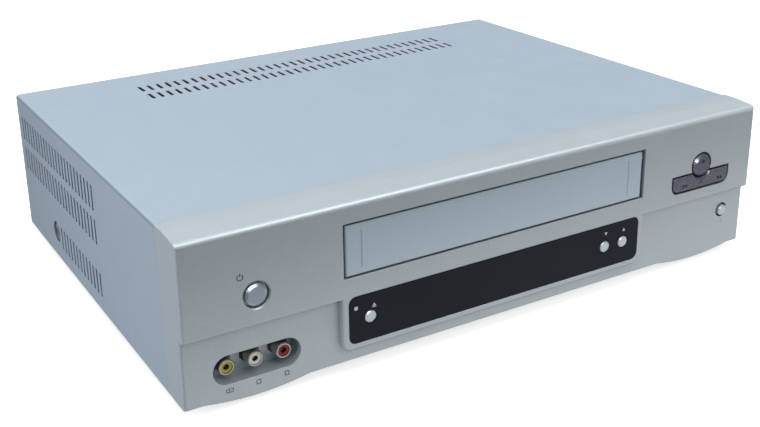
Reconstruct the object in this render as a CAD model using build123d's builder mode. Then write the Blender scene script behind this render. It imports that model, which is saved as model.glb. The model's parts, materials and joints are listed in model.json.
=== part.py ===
"""A front-loading VHS video cassette recorder, modelled piece by piece.

Millimetres. +X is to the right of somebody facing the recorder, +Y runs from its front to its back,
+Z is up. The origin is on the floor, under the middle of the recorder. Inside the case, places are
given as x, depth behind the front face and level above the bottom edge of the case.
"""

import os
from math import acos, atan2, cos, degrees, hypot, pi, radians, sin, tan

from build123d import *

os.makedirs("parts", exist_ok=True)

# ----------------------------------------------------------------------------------------------
# Driving dimensions
# ----------------------------------------------------------------------------------------------

# Case
body_width = 360.0
body_depth = 267.0
case_height = 86.5
foot_height = 5.0
button_proud = 1.4
connector_proud = 9.0
panel_depth = 23.5
sheet = 0.8
cover_bend_radius = 2.0
cover_gap = 0.3
running_clearance = 0.08
touch_gap = 0.3

# Vent slots and screws of the cover
slot_pitch = 6.0
slot_width = 2.2
side_slot_count = 24
side_slot_margin = 9.5
upper_row_level = 67.2
middle_row_level = 47.4
side_slot_length = 14.6
low_row_count = 13
low_row_level = 16.1
low_row_length = 14.2
top_slot_count = 38
top_slot_length = 11.0
top_slot_centre = 2.0
rear_row_margin = 33.3
top_row_pitch = 18.0
side_screw_margin = 65.0
side_screw_level = 17.0
dish_radius = 6.5
dish_depth = 1.4
screw_radius = 1.5
screw_head_radius = 3.2
screw_head_height = 1.2
screw_head_taper = 25.0
screw_length = 7.0
rear_flange = 11.0
rear_screw_pitch = 150.0

# Front panel
panel_wall = 2.5
panel_edge_radius = 1.5
bevel_drop = 4.0
bevel_run = 3.0
crown_drop = 1.0
crown_run = 12.0
recess_depth = 3.6
recess_wall = 3.0
step_level = 35.5
block_border = 3.6
block_level = 6.7
block_radius = 5.0
lip_inset = 38.0
lip_width = 56.0
lip_drop = 2.6
lip_depth = 9.0

# Cassette slot and its door
slot_half_width = 96.0
slot_low = 46.4
slot_high = 75.3
door_side_gap = 1.6
door_top_gap = 1.5
door_low_gap = 0.6
door_thickness = 2.0
door_inset = 0.8
door_bevel = 0.5
door_rib_x = 84.9
door_rib_width = 1.3
door_rib_height = 0.35
door_rib_margin = 3.2
door_rib_taper = 40.0
door_axis_depth = 5.0
door_axis_rise = 1.2
door_pin_radius = 1.2
door_ear_radius = 1.8
door_ear_width = 1.6
door_lug_width = 3.0
door_lug_radius = 3.0

# Display window
window_half_width = 93.7
window_low = 10.4
window_high = 36.0
window_radius = 4.0
window_thickness = 2.0
window_inset = 0.2
window_ledge = 3.0
window_gap = 0.15

# Buttons
button_gap = 0.5
key_gap = 1.1
button_flange = 1.9
button_flange_thickness = 1.0
button_travel = 1.0
button_stem_radius = 1.6
power_inset = 38.0
power_level = 51.2
power_radius = 5.7
power_flat_radius = 4.2
power_rim = 0.7
small_level = 22.9
small_radius = 3.2
small_bevel = 0.8
small_proud = 0.2
stop_inset = 12.4
channel_inset = 10.8
channel_pitch = 13.0
record_inset = 16.5
record_radius = 3.3
record_bevel = 0.9
key_bevel_slope = 2.2
play_inset = 40.0
play_level = 57.1
play_radius = 6.6
play_flat_radius = 5.2
rocker_half_width = 21.2
rocker_low = 43.5
rocker_high = 52.4
rocker_radius = 4.0
rocker_swing = 2.5
rocker_proud = 0.9
rocker_pin_depth = 6.2
rocker_pin_radius = 1.2
rocker_hub_radius = 2.6
rocker_pin_drop = 1.5
rocker_stem_reach = 14.0

# Front sockets
socket_inset = 38.3
socket_level = 14.9
socket_pocket_width = 46.0
socket_pocket_height = 15.3
socket_pocket_depth = 9.9
socket_pocket_wall = 1.6
socket_pitch = 15.0
socket_body_width = 9.8
socket_body_drop = 3.0
socket_body_rise = 6.0
socket_body_chamfer = 1.4
socket_collar = 0.4
socket_body_length = 8.5
shell_radius = 4.15
shell_wall = 1.0
shell_lip = 0.45
shell_length = 7.4
insert_gap = 0.05
insert_bore = 1.6
insert_inset = 0.5

# Chassis pan, boards and rear panel
pan_sheet = 1.0
pan_flange = 25.0
pan_vent_length = 30.0
pan_vent_width = 3.0
pan_vent_count = 12
pan_vent_pitch = 8.0
pan_vent_setback = 60.0
foot_inset = 42.0
front_foot_depth = 42.0
rear_foot_margin = 23.0
foot_radius = 11.0
foot_chamfer = 1.5
foot_flare = 1.0
standoff_radius = 3.0
middle_standoff_x = -20.0
board_level = 8.0
board_thickness = 1.6
board_margin = 3.0
control_board_depth = 19.9
control_board_low = 9.0
control_board_wing_level = 66.0
control_board_middle_level = 42.0
tact_size = 6.0
tact_height = 3.6
tact_plunger_radius = 1.7
tact_plunger_length = 1.2
display_width = 72.0
display_height = 17.0
display_thickness = 6.0
display_x = 10.0
rear_sheet = 1.5
rear_inset = 1.0

# Tape deck
deck_level = 20.0
deck_sheet = 1.5
deck_left = -108.0
deck_right = 112.0
deck_front = 28.0
deck_back = 216.0
deck_corner = 6.0
deck_pillar_radius = 4.0
deck_pillar_inset = 8.0
pivot_pin_rise = 3.0

# Cassette carriage
bracket_inner = 97.0
bracket_sheet = 1.5
bracket_front = 30.0
bracket_back = 150.0
bracket_top = 80.0
bracket_foot = 7.0
brace_inset = 12.0
brace_length = 16.0
holder_half_width = 95.6
holder_front = 36.0
holder_length = 50.0
holder_sheet = 1.0
holder_floor = 46.0
holder_height = 27.2
holder_lip = 26.0
holder_window_width = 57.4
holder_window_margin = 12.0
carriage_travel = 58.0
carriage_drop = 18.0
guide_pin_radius = 1.5
guide_pin_gap = 0.1
front_pin_inset = 9.0
rear_pin_inset = 9.0
front_pin_level = 54.0
rear_pin_level = 66.0
slider_gap = 0.5
slider_width = 3.0
rack_module = 1.0
rack_level = 50.0
rack_front = 30.0
rack_back = 104.0
rack_bar_height = 3.0
slider_margin = 6.0
slider_rise = 4.0
carriage_gear_teeth = 18
carriage_gear_depth = 96.0
tooth_play = 0.35
addendum = 0.8
dedendum = 1.2
tooth_sink = 0.3
pressure_angle = 20.0
stub_radius = 2.0

# Head drum
drum_x = -2.0
drum_depth = 178.0
drum_radius = 31.0
drum_tilt = 5.0
drum_level = 25.0
lower_drum_height = 12.5
upper_drum_height = 13.0
drum_gap = 0.3
drum_shaft_radius = 2.0
drum_boss_radius = 9.0
drum_boss_height = 1.2
drum_skirt = 6.0
drum_rim_reach = 1.0
drum_rim_height = 3.0
drum_chamfer = 0.8
drum_well_margin = 6.0
drum_well_depth = 2.0
drum_cap_margin = 1.5
drum_shaft_clearance = 1.0
head_count = 6
head_window_width = 3.0
head_window_height = 2.0
head_window_depth = 2.4

# Reels, clutch and idler
reel_x = 45.0
reel_depth = 80.0
reel_height = 4.7
reel_lift = 0.8
reel_hub_radius = 8.0
reel_hub_height = 2.0
reel_rim_width = 2.0
reel_rim_slope = 1.0
reel_dish = 1.2
spindle_radius = 4.2
spindle_height = 12.0
spindle_cone_height = 2.0
spindle_cone_run = 2.5
spline_count = 6
spline_width = 1.6
spline_reach = 5.4
spline_sink = 1.0
spline_drop = 3.0
reel_shaft_radius = 1.5
clutch_hub_radius = 9.0
clutch_pulley_radius = 18.0
clutch_shaft_radius = 2.0
clutch_shaft_rise = 1.2
clutch_hub_rise = 1.5
idler_radius = 7.5
idler_height = 5.0
idler_lift = 0.2
idler_pin_radius = 1.0
idler_swing = 60.0
idler_arm_sheet = 1.0
idler_arm_width = 7.0

# Capstan, belt and pinch roller
capstan_x = 64.0
capstan_depth = 146.0
capstan_radius = 1.75
capstan_top = 45.0
flywheel_radius = 24.0
flywheel_low = 11.6
flywheel_height = 4.8
flywheel_rim = 3.0
flywheel_slope = 1.0
flywheel_dish = 1.5
capstan_pulley_radius = 7.0
pulley_height = 2.4
pulley_rim = 0.8
belt_thickness = 1.0
belt_width = 1.6
belt_gap = 0.05
capstan_holder_radius = 4.0
capstan_holder_flange = 8.0
capstan_holder_sheet = 2.0
capstan_holder_top = 29.5
pinch_pivot_x = 86.0
pinch_pivot_depth = 164.0
pinch_arm_length = 22.0
pinch_radius = 6.0
pinch_height = 12.0
pinch_level = 30.5
pinch_arm_level = 26.0
pinch_arm_sheet = 2.0
pinch_pin_rise = 1.0
arm_boss_radius = 3.5
pinch_swing = 28.0
pivot_pin_radius = 1.5

# Threading guides, heads and tension arm
guide_centre_x = 14.0
guide_centre_depth = 172.0
guide_start_x = 25.0
guide_start_depth = 128.0
guide_swing = 62.0
guide_pin_width = 4.0
guide_pin_reach = 0.4
guide_base_width = 11.0
guide_base_length = 14.0
guide_base_height = 5.0
guide_base_corner = 3.0
guide_post_radius = 1.6
guide_post_sink = 1.0
guide_roller_radius = 3.0
guide_roller_level = 30.0
guide_roller_height = 14.0
guide_collar_radius = 4.0
guide_collar_height = 1.5
audio_head_x = 64.0
audio_head_depth = 170.0
audio_base_width = 16.0
audio_base_length = 16.0
audio_base_height = 3.0
audio_head_width = 11.0
audio_head_length = 9.0
audio_head_height = 20.0
erase_head_x = -68.0
erase_head_gap = 20.0
erase_base_width = 14.0
erase_base_length = 12.0
erase_base_height = 4.0
erase_head_width = 9.0
erase_head_length = 7.0
erase_head_height = 18.0
head_base_corner = 2.0
tension_pivot_x = -86.0
tension_pivot_depth = 140.0
tension_arm_length = 28.0
tension_arm_lead = 4.0
tension_pin_height = 16.0
tension_swing = 12.0

# Loading gears
loading_block_x = -89.0
loading_block_depth = 192.0
loading_block_width = 22.0
loading_block_length = 34.0
loading_block_height = 9.0
loading_block_corner = 2.0
loading_motor_radius = 8.8
loading_motor_level = 9.9
loading_motor_inset = 2.0
loading_motor_length = 26.0
cam_gear_teeth = 44
cam_gear_x = -62.0
cam_gear_depth = 182.0
cam_gear_thickness = 4.0
cam_gear_drop = 2.3
cam_shaft_rise = 1.0

# Electronics behind the deck and beside it
supply_inset = 40.0
transformer_depth = 90.0
transformer_width = 34.0
transformer_length = 30.0
transformer_height = 28.0
transformer_core_length = 18.6
transformer_coil_width = 21.0
transformer_coil_margin = 5.0
capacitor_radius = 8.0
capacitor_height = 30.0
capacitor_chamfer = 1.0
front_capacitor_gap = 44.0
rear_capacitor_gap = 82.0
rear_capacitor_share = 0.7
heatsink_height = 38.0
heatsink_offset = 4.0
heatsink_gap = 42.0
heatsink_length = 40.0
heatsink_sheet = 2.0
heatsink_fin_count = 5
heatsink_fin_length = 10.0
heatsink_fin_pitch = 9.0

# Sockets of the rear panel
tuner_inset = 38.0
tuner_width = 56.0
tuner_length = 44.0
tuner_height = 16.0
tuner_level = 12.0
tuner_leg_width = 4.0
tuner_leg_sheet = 1.0
tuner_leg_inset = 3.0
aerial_radius = 4.8
aerial_wall = 0.8
aerial_pin_radius = 1.2
aerial_pitch = 22.0
scart_width = 47.0
scart_height = 14.6
scart_level = 19.0
scart_left_x = -24.0
scart_pitch = 56.0
scart_length = 18.0
scart_wall = 1.0
scart_floor = 6.0
scart_slant = 4.5
scart_tongue_width = 39.0
scart_tongue_height = 5.6
scart_stand_margin = 4.0
scart_stand_length = 10.0
scart_stand_setback = 12.0
rear_socket_x = 66.0
rear_socket_pitch = 14.0
rear_socket_level = 18.0
rear_body_length = 11.4
rear_body_rise = 6.0
inlet_inset = 36.0
inlet_level = 20.0
inlet_width = 21.0
inlet_height = 13.0
inlet_length = 20.0
inlet_proud = 2.0
inlet_wall = 2.5
inlet_floor = 4.0
inlet_pin_pitch = 7.5
inlet_pin_radius = 1.2
inlet_pin_sink = 2.0
inlet_pin_length = 12.0
inlet_stand_width = 17.0
inlet_stand_length = 12.0

# Places that follow the case
half_width = body_width / 2
side_slot_start = body_depth - side_slot_margin - (side_slot_count - 1) * slot_pitch
rear_row_depth = body_depth - rear_row_margin
front_row_depth = rear_row_depth - top_row_pitch
side_screw_depth = body_depth - side_screw_margin
block_half_width = window_half_width + block_border
lip_centre = half_width - lip_inset
power_x = -(half_width - power_inset)
stop_x = -(window_half_width - stop_inset)
channel_up_x = window_half_width - channel_inset
channel_down_x = channel_up_x - channel_pitch
play_x = half_width - play_inset
record_x = half_width - record_inset
socket_pocket_x = -(half_width - socket_inset)
video_socket_x = socket_pocket_x - socket_pitch
left_socket_x = socket_pocket_x
right_socket_x = socket_pocket_x + socket_pitch
socket_columns = (video_socket_x, left_socket_x, right_socket_x)
foot_x = half_width - foot_inset
rear_foot_depth = body_depth - rear_foot_margin
erase_head_depth = tension_pivot_depth + erase_head_gap
transformer_x = -(half_width - supply_inset)
heatsink_x = transformer_x + heatsink_offset
heatsink_depth = transformer_depth + heatsink_gap
tuner_x = half_width - tuner_inset
inlet_x = -(half_width - inlet_inset)

# ----------------------------------------------------------------------------------------------
# The shared frame
# ----------------------------------------------------------------------------------------------

front_y = button_proud - (button_proud + body_depth + connector_proud) / 2
base_z = foot_height


def front_view(depth):
    """A plane at a depth, facing the front, drawn in x and level."""
    return Plane(origin=(0, front_y + depth, base_z), x_dir=(1, 0, 0), z_dir=(0, -1, 0))


def side_view(x):
    """A plane at x, facing right, drawn in depth and level."""
    return Plane(origin=(x, front_y, base_z), x_dir=(0, 1, 0), z_dir=(1, 0, 0))


def plan_view(level):
    """A level plane, facing up, drawn in x and depth."""
    return Plane(origin=(0, front_y, base_z + level), x_dir=(1, 0, 0), z_dir=(0, 0, 1))


def write(piece, name):
    """Labels a finished piece and writes it to its own file."""
    piece.label = name
    export_step(piece, f"parts/{name}.step")


def turned_to_front(x, level, *profile):
    """A solid turned about the front-to-back line at x and level, from (depth, radius) points."""
    with BuildPart() as made:
        with BuildSketch(Plane(origin=(x, front_y, base_z + level), x_dir=(0, 1, 0), z_dir=(1, 0, 0))):
            with BuildLine():
                Polyline(*profile, close=True)
            make_face()
        revolve(axis=Axis((x, front_y, base_z + level), (0, 1, 0)))
    return made.part


def turned_upright(x, depth, *profile):
    """A solid turned about the upright line at x and depth, from (radius, level) points."""
    with BuildPart() as made:
        with BuildSketch(Plane(origin=(x, front_y + depth, base_z), x_dir=(1, 0, 0), z_dir=(0, -1, 0))):
            with BuildLine():
                Polyline(*profile, close=True)
            make_face()
        revolve(axis=Axis((x, front_y + depth, base_z), (0, 0, 1)))
    return made.part


# ----------------------------------------------------------------------------------------------
# Top cover: one folded sheet over the top and both sides, with a flange down the back
# ----------------------------------------------------------------------------------------------

cover_inner_half = half_width - sheet
cover_inner_top = case_height - sheet
side_slot_middle = side_slot_start + (side_slot_count - 1) * slot_pitch / 2
low_row_middle = side_slot_start + (low_row_count - 1) * slot_pitch / 2
rear_screw_level = cover_inner_top - rear_flange / 2

with BuildPart() as top_cover:
    with BuildSketch(front_view(body_depth)) as cover_outside:
        with Locations((0, case_height / 2)):
            Rectangle(body_width, case_height)
        fillet(cover_outside.vertices().group_by(Axis.Y)[-1], cover_bend_radius)
    extrude(amount=body_depth - panel_depth)
    with BuildSketch(front_view(body_depth)) as cover_inside:
        with Locations((0, cover_inner_top / 2)):
            Rectangle(2 * cover_inner_half, cover_inner_top)
        fillet(cover_inside.vertices().group_by(Axis.Y)[-1], cover_bend_radius - sheet)
    extrude(amount=body_depth - panel_depth, mode=Mode.SUBTRACT)
    with BuildSketch(front_view(body_depth)):
        with Locations((0, rear_screw_level)):
            Rectangle(2 * cover_inner_half - 4 * cover_bend_radius, rear_flange)
    extrude(amount=sheet)
    with BuildSketch(front_view(body_depth)):
        with Locations((0, rear_screw_level)):
            with GridLocations(rear_screw_pitch, 1, 3, 1):
                Circle(screw_radius + running_clearance)
    extrude(amount=sheet, mode=Mode.SUBTRACT)
    for side in (-1, 1):
        with BuildSketch(side_view(side * (half_width - dish_depth - sheet))):
            with Locations((side_screw_depth, side_screw_level)):
                Circle(dish_radius + sheet)
        extrude(amount=side * (dish_depth + sheet / 2))
        with BuildSketch(side_view(side * half_width)):
            with Locations((side_screw_depth, side_screw_level)):
                Circle(dish_radius)
        extrude(amount=-side * dish_depth, mode=Mode.SUBTRACT)
        with BuildSketch(side_view(side * (half_width - dish_depth))):
            with Locations((side_screw_depth, side_screw_level)):
                Circle(screw_radius + running_clearance)
        extrude(amount=-side * sheet, mode=Mode.SUBTRACT)
        with BuildSketch(side_view(side * half_width)):
            for row_level in (upper_row_level, middle_row_level):
                with Locations((side_slot_middle, row_level)):
                    with GridLocations(slot_pitch, 1, side_slot_count, 1):
                        Rectangle(slot_width, side_slot_length)
            if side < 0:
                with Locations((low_row_middle, low_row_level)):
                    with GridLocations(slot_pitch, 1, low_row_count, 1):
                        Rectangle(slot_width, low_row_length)
        extrude(amount=-side * sheet, mode=Mode.SUBTRACT)
    with BuildSketch(plan_view(case_height)):
        for row_depth in (front_row_depth, rear_row_depth):
            with Locations((top_slot_centre, row_depth)):
                with GridLocations(slot_pitch, 1, top_slot_count, 1):
                    Rectangle(slot_width, top_slot_length)
    extrude(amount=-sheet, mode=Mode.SUBTRACT)
write(top_cover.part, "top_cover")


def screw(placement):
    """A domed screw whose head stands on a plane and whose shank runs down behind it."""
    with BuildPart() as made:
        with BuildSketch(placement):
            Circle(screw_head_radius)
        extrude(amount=screw_head_height, taper=screw_head_taper)
        with BuildSketch(placement):
            Circle(screw_radius)
        extrude(amount=-screw_length)
    return made.part


with BuildPart() as cover_screws:
    for side in (-1, 1):
        seat = side_view(side * (half_width - dish_depth))
        add(screw(Plane(origin=seat.from_local_coords((side_screw_depth, side_screw_level)),
                        x_dir=(0, 1, 0), z_dir=(side, 0, 0))))
    for step in (-1, 0, 1):
        add(screw(Plane(origin=(step * rear_screw_pitch, front_y + body_depth, base_z + rear_screw_level),
                        x_dir=(-1, 0, 0), z_dir=(0, 1, 0))))
write(cover_screws.part, "cover_screws")

# ----------------------------------------------------------------------------------------------
# Front panel: a moulding whose upper part and middle block stand forward of its lower corners
# ----------------------------------------------------------------------------------------------

recess_back = recess_depth + recess_wall
panel_floor = step_level + panel_wall
pocket_back = recess_depth + socket_pocket_depth
door_axis_level = slot_high + door_axis_rise
ear_outer = slot_half_width - door_side_gap
lug_inner = slot_half_width + touch_gap


def window_outline(margin):
    """Draws the window's rounded outline, grown by a margin."""
    with Locations((0, (window_low + window_high) / 2)):
        RectangleRounded(2 * (window_half_width + margin), window_high - window_low + 2 * margin,
                         window_radius + margin)


def rocker_outline(margin):
    """Draws the search key: a boat with a bay for the play button, grown by a margin."""
    with BuildSketch(mode=Mode.PRIVATE) as boat:
        with Locations((play_x, (rocker_low + rocker_high) / 2)):
            Rectangle(2 * rocker_half_width, rocker_high - rocker_low)
        fillet(boat.vertices().group_by(Axis.Y)[0], rocker_radius)
        offset(amount=margin, kind=Kind.INTERSECTION)
        with Locations((play_x, play_level)):
            Circle(play_radius + key_gap - margin, mode=Mode.SUBTRACT)
    add(boat.sketch)


def socket_bodies_outline(margin):
    """Draws the sockets' bodies: blocks with a round collar about each shell, grown by a margin."""
    with BuildSketch(mode=Mode.PRIVATE) as body:
        with Locations((0, (socket_body_rise - socket_body_drop) / 2)):
            Rectangle(socket_body_width, socket_body_rise + socket_body_drop)
        chamfer(body.vertices().group_by(Axis.Y)[0], socket_body_chamfer)
        Circle(shell_radius + socket_collar)
        offset(amount=margin, kind=Kind.INTERSECTION)
    with Locations(*[(socket_x, socket_level) for socket_x in socket_columns]):
        add(body.sketch)


with BuildPart() as front_panel:
    with BuildSketch(front_view(panel_depth)):
        with Locations((0, case_height / 2)):
            Rectangle(body_width, case_height)
    extrude(amount=panel_depth - recess_depth)
    with BuildSketch(front_view(recess_depth)) as raised_face:
        with Locations((0, (step_level + case_height) / 2)):
            Rectangle(body_width, case_height - step_level)
        with Locations((0, (block_level + step_level) / 2)):
            Rectangle(2 * block_half_width, step_level - block_level)
        fillet(raised_face.vertices().group_by(Axis.Y)[0], block_radius)
    extrude(amount=recess_depth)
    front_edges = front_panel.faces().sort_by(Axis.Y)[0].edges()
    step_edges = front_edges.filter_by(lambda edge: edge.center().Z < base_z + step_level + 1)
    fillet(step_edges, panel_edge_radius)
    upright_edges = front_panel.edges().filter_by(Axis.Z)
    fillet(upright_edges.filter_by(lambda edge: abs(edge.center().X) > half_width - 1
                                   and edge.center().Y < front_y + panel_depth / 2),
           panel_edge_radius)
    with BuildSketch(side_view(-half_width)):
        with BuildLine():
            TangentArc((0, case_height - bevel_drop), (bevel_run, case_height - crown_drop), tangent=(0, 1))
            Polyline((bevel_run, case_height - crown_drop), (bevel_run + crown_run, case_height),
                     (bevel_run + crown_run, case_height + 1), (-1, case_height + 1),
                     (-1, case_height - bevel_drop), (0, case_height - bevel_drop))
        make_face()
    extrude(amount=body_width, mode=Mode.SUBTRACT)
    for side in (-1, 1):
        with BuildSketch(front_view(recess_depth + lip_depth)):
            with BuildLine():
                lip_left = side * lip_centre - lip_width / 2
                lip_right = side * lip_centre + lip_width / 2
                ThreePointArc((lip_left, 0), (side * lip_centre, -lip_drop), (lip_right, 0))
                Line((lip_right, 0), (lip_left, 0))
            make_face()
        extrude(amount=lip_depth)
    with BuildSketch(front_view(panel_depth)):
        with Locations((0, case_height / 2)):
            Rectangle(body_width - 2 * panel_wall, case_height - 2 * panel_wall)
    extrude(amount=panel_depth - recess_back, mode=Mode.SUBTRACT)
    with BuildSketch(front_view(recess_back)):
        with Locations((0, (panel_floor + case_height - bevel_drop) / 2)):
            Rectangle(body_width - 2 * panel_wall, case_height - bevel_drop - panel_floor)
    extrude(amount=recess_back - panel_wall, mode=Mode.SUBTRACT)
    for side in (-1, 1):
        with BuildSketch(side_view(side * lug_inner)) as lug_profile:
            with Locations((door_axis_depth, door_axis_level)):
                Circle(door_lug_radius)
            with Locations(((panel_wall + door_axis_depth) / 2, door_axis_level)):
                Rectangle(door_axis_depth - panel_wall, 2 * door_lug_radius)
        extrude(amount=side * door_lug_width)
        with BuildSketch(side_view(side * lug_inner)):
            with Locations((door_axis_depth, door_axis_level)):
                Circle(door_pin_radius + running_clearance)
        extrude(amount=side * door_lug_width, mode=Mode.SUBTRACT)
    with BuildSketch(front_view(recess_back)):
        with Locations((0, (slot_low + slot_high) / 2)):
            Rectangle(2 * slot_half_width, slot_high - slot_low)
    extrude(amount=recess_back, mode=Mode.SUBTRACT)
    with BuildSketch(front_view(window_inset + window_thickness)):
        window_outline(window_gap)
    extrude(amount=window_inset + window_thickness, mode=Mode.SUBTRACT)
    with BuildSketch(front_view(recess_back)):
        window_outline(-window_ledge)
    extrude(amount=recess_back, mode=Mode.SUBTRACT)
    with BuildSketch(front_view(pocket_back + socket_pocket_wall)):
        with Locations((socket_pocket_x, socket_level)):
            SlotOverall(socket_pocket_width + 2 * socket_pocket_wall,
                        socket_pocket_height + 2 * socket_pocket_wall)
    extrude(amount=pocket_back + socket_pocket_wall - recess_back)
    with BuildSketch(front_view(pocket_back)):
        with Locations((socket_pocket_x, socket_level)):
            SlotOverall(socket_pocket_width, socket_pocket_height)
    extrude(amount=pocket_back, mode=Mode.SUBTRACT)
    with BuildSketch(front_view(pocket_back + socket_pocket_wall)):
        socket_bodies_outline(window_gap)
    extrude(amount=socket_pocket_wall, mode=Mode.SUBTRACT)
    with BuildSketch(front_view(recess_back)):
        with Locations((power_x, power_level)):
            Circle(power_radius + key_gap)
        with Locations((play_x, play_level)):
            Circle(play_radius + key_gap)
        with Locations((record_x, small_level)):
            Circle(record_radius + key_gap)
        rocker_outline(key_gap)
    extrude(amount=recess_back, mode=Mode.SUBTRACT)
    add(turned_to_front(power_x, power_level, (0, 0), (power_rim, 0),
                        (power_rim, power_radius + key_gap),
                        (0, power_radius + key_gap + power_rim)), mode=Mode.SUBTRACT)
    with BuildSketch(plan_view(panel_floor)):
        with Locations((play_x, (panel_wall + rocker_pin_depth + rocker_hub_radius) / 2)):
            Rectangle(2 * rocker_hub_radius, rocker_pin_depth + rocker_hub_radius - panel_wall)
    extrude(amount=rocker_low - button_flange - touch_gap - panel_floor)
    with BuildSketch(plan_view(panel_floor)):
        with Locations((play_x, rocker_pin_depth)):
            Circle(rocker_pin_radius)
    extrude(amount=play_level - play_radius - rocker_pin_drop - panel_floor)
write(front_panel.part, "front_panel")


# ----------------------------------------------------------------------------------------------
# Cassette door: a flap with two fine upright ribs, hung from pins at its top corners
# ----------------------------------------------------------------------------------------------

door_low = slot_low + door_low_gap
door_high = slot_high - door_top_gap
door_back = door_inset + door_thickness

with BuildPart() as cassette_door:
    with BuildSketch(front_view(door_back)):
        with Locations((0, (door_low + door_high) / 2)):
            Rectangle(2 * ear_outer, door_high - door_low)
    extrude(amount=door_thickness)
    chamfer(cassette_door.faces().sort_by(Axis.Y)[0].edges(), door_bevel)
    with BuildSketch(front_view(door_inset)):
        for side in (-1, 1):
            with Locations((side * door_rib_x, (door_low + door_high) / 2)):
                SlotOverall(door_high - door_low - 2 * door_rib_margin, door_rib_width, rotation=90)
    extrude(amount=door_rib_height, taper=door_rib_taper)
    for side in (-1, 1):
        ear_inner = ear_outer - door_ear_width
        with BuildSketch(side_view(side * ear_inner)):
            with Locations((door_axis_depth, door_axis_level)):
                Circle(door_ear_radius)
            with Locations((door_back - door_thickness / 2, door_high - door_ear_radius - door_top_gap)):
                Circle(door_thickness / 2)
            make_hull()
        extrude(amount=side * door_ear_width)
        with BuildSketch(side_view(side * ear_outer)):
            with Locations((door_axis_depth, door_axis_level)):
                Circle(door_pin_radius)
        extrude(amount=side * (lug_inner - ear_outer + door_lug_width))
write(cassette_door.part, "cassette_door")

# ----------------------------------------------------------------------------------------------
# Display window and the buttons
# ----------------------------------------------------------------------------------------------

window_back = window_inset + window_thickness

with BuildPart() as display_window:
    with BuildSketch(front_view(window_back)):
        window_outline(0)
        for button_x in (stop_x, channel_down_x, channel_up_x):
            with Locations((button_x, small_level)):
                Circle(small_radius + button_gap, mode=Mode.SUBTRACT)
    extrude(amount=window_thickness)
write(display_window.part, "display_window")

switch_front = control_board_depth - tact_height - tact_plunger_length
stem_end = switch_front - button_travel - touch_gap


def button(x, level, radius, face, flat_radius, seat):
    """A round button: a bevelled cap, a collar behind the wall it comes through, and its stem."""
    collar = seat + running_clearance
    bevel = (radius - flat_radius) / key_bevel_slope
    return turned_to_front(
        x, level, (face, 0), (face, flat_radius), (face + bevel, radius), (collar, radius),
        (collar, radius + button_flange), (collar + button_flange_thickness, radius + button_flange),
        (collar + button_flange_thickness, button_stem_radius), (stem_end, button_stem_radius),
        (stem_end, 0))


power_button = button(power_x, power_level, power_radius, 0, power_flat_radius, panel_wall)
write(power_button, "power_button")
small_flat_radius = small_radius - small_bevel
small_face = window_inset - small_proud
stop_eject_button = button(stop_x, small_level, small_radius, small_face, small_flat_radius, window_back)
write(stop_eject_button, "stop_eject_button")
channel_down_button = button(channel_down_x, small_level, small_radius, small_face,
                             small_flat_radius, window_back)
write(channel_down_button, "channel_down_button")
channel_up_button = button(channel_up_x, small_level, small_radius, small_face,
                           small_flat_radius, window_back)
write(channel_up_button, "channel_up_button")
record_button = button(record_x, small_level, record_radius, recess_depth - button_proud,
                       record_radius - record_bevel, recess_back)
write(record_button, "record_button")

with BuildPart() as play_button:
    add(turned_to_front(
        play_x, play_level, (-button_proud, 0), (-button_proud, play_flat_radius), (0, play_radius),
        (panel_wall + running_clearance + button_flange_thickness, play_radius),
        (panel_wall + running_clearance + button_flange_thickness, button_stem_radius),
        (stem_end, button_stem_radius), (stem_end, 0)))
    with BuildSketch(front_view(panel_wall + running_clearance + button_flange_thickness)):
        with Locations((play_x, play_level + play_radius / 2)):
            Rectangle(2 * (play_radius + button_flange), play_radius)
        with Locations((play_x, play_level)):
            Circle(play_radius - button_gap, mode=Mode.SUBTRACT)
    extrude(amount=button_flange_thickness)
write(play_button.part, "play_button")

rocker_reach = (rocker_half_width + button_flange) * sin(radians(rocker_swing))
rocker_plate_front = panel_wall + rocker_reach + running_clearance
rocker_plate_back = rocker_plate_front + button_flange_thickness
rocker_plate_low = rocker_low - button_flange
rocker_plate_high = play_level - play_radius - key_gap
rocker_hub_low = rocker_low - key_gap
rocker_stem_end = switch_front - rocker_stem_reach * sin(radians(rocker_swing)) - touch_gap

with BuildPart() as search_rocker:
    with BuildSketch(front_view(rocker_plate_front)):
        rocker_outline(0)
    extrude(amount=rocker_plate_front + rocker_proud)
    rocker_face = search_rocker.faces().sort_by(Axis.Y)[0]
    chamfer(rocker_face.outer_wire().edges(), rocker_proud)
    with BuildSketch(front_view(rocker_plate_back)):
        with Locations((play_x, (rocker_plate_low + rocker_plate_high) / 2)):
            Rectangle(2 * (rocker_half_width + button_flange), rocker_plate_high - rocker_plate_low)
    extrude(amount=button_flange_thickness)
    with BuildSketch(plan_view(rocker_hub_low)):
        with Locations((play_x, rocker_pin_depth)):
            Circle(rocker_hub_radius)
    extrude(amount=rocker_plate_high - rocker_hub_low)
    with BuildSketch(plan_view(rocker_plate_low)):
        with Locations((play_x, rocker_pin_depth)):
            Circle(rocker_pin_radius + running_clearance)
    extrude(amount=rocker_plate_high - rocker_plate_low, mode=Mode.SUBTRACT)
    with BuildSketch(front_view(rocker_plate_back)):
        with Locations((play_x, (rocker_low + rocker_plate_high) / 2)):
            with GridLocations(2 * rocker_stem_reach, 1, 2, 1):
                Circle(button_stem_radius)
    extrude(amount=-(rocker_stem_end - rocker_plate_back))
write(search_rocker.part, "search_rocker")

# ----------------------------------------------------------------------------------------------
# Front sockets: black bodies behind the pocket, metal shells and coloured inserts
# ----------------------------------------------------------------------------------------------

body_front = pocket_back - window_gap
shell_front = body_front - shell_length

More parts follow.
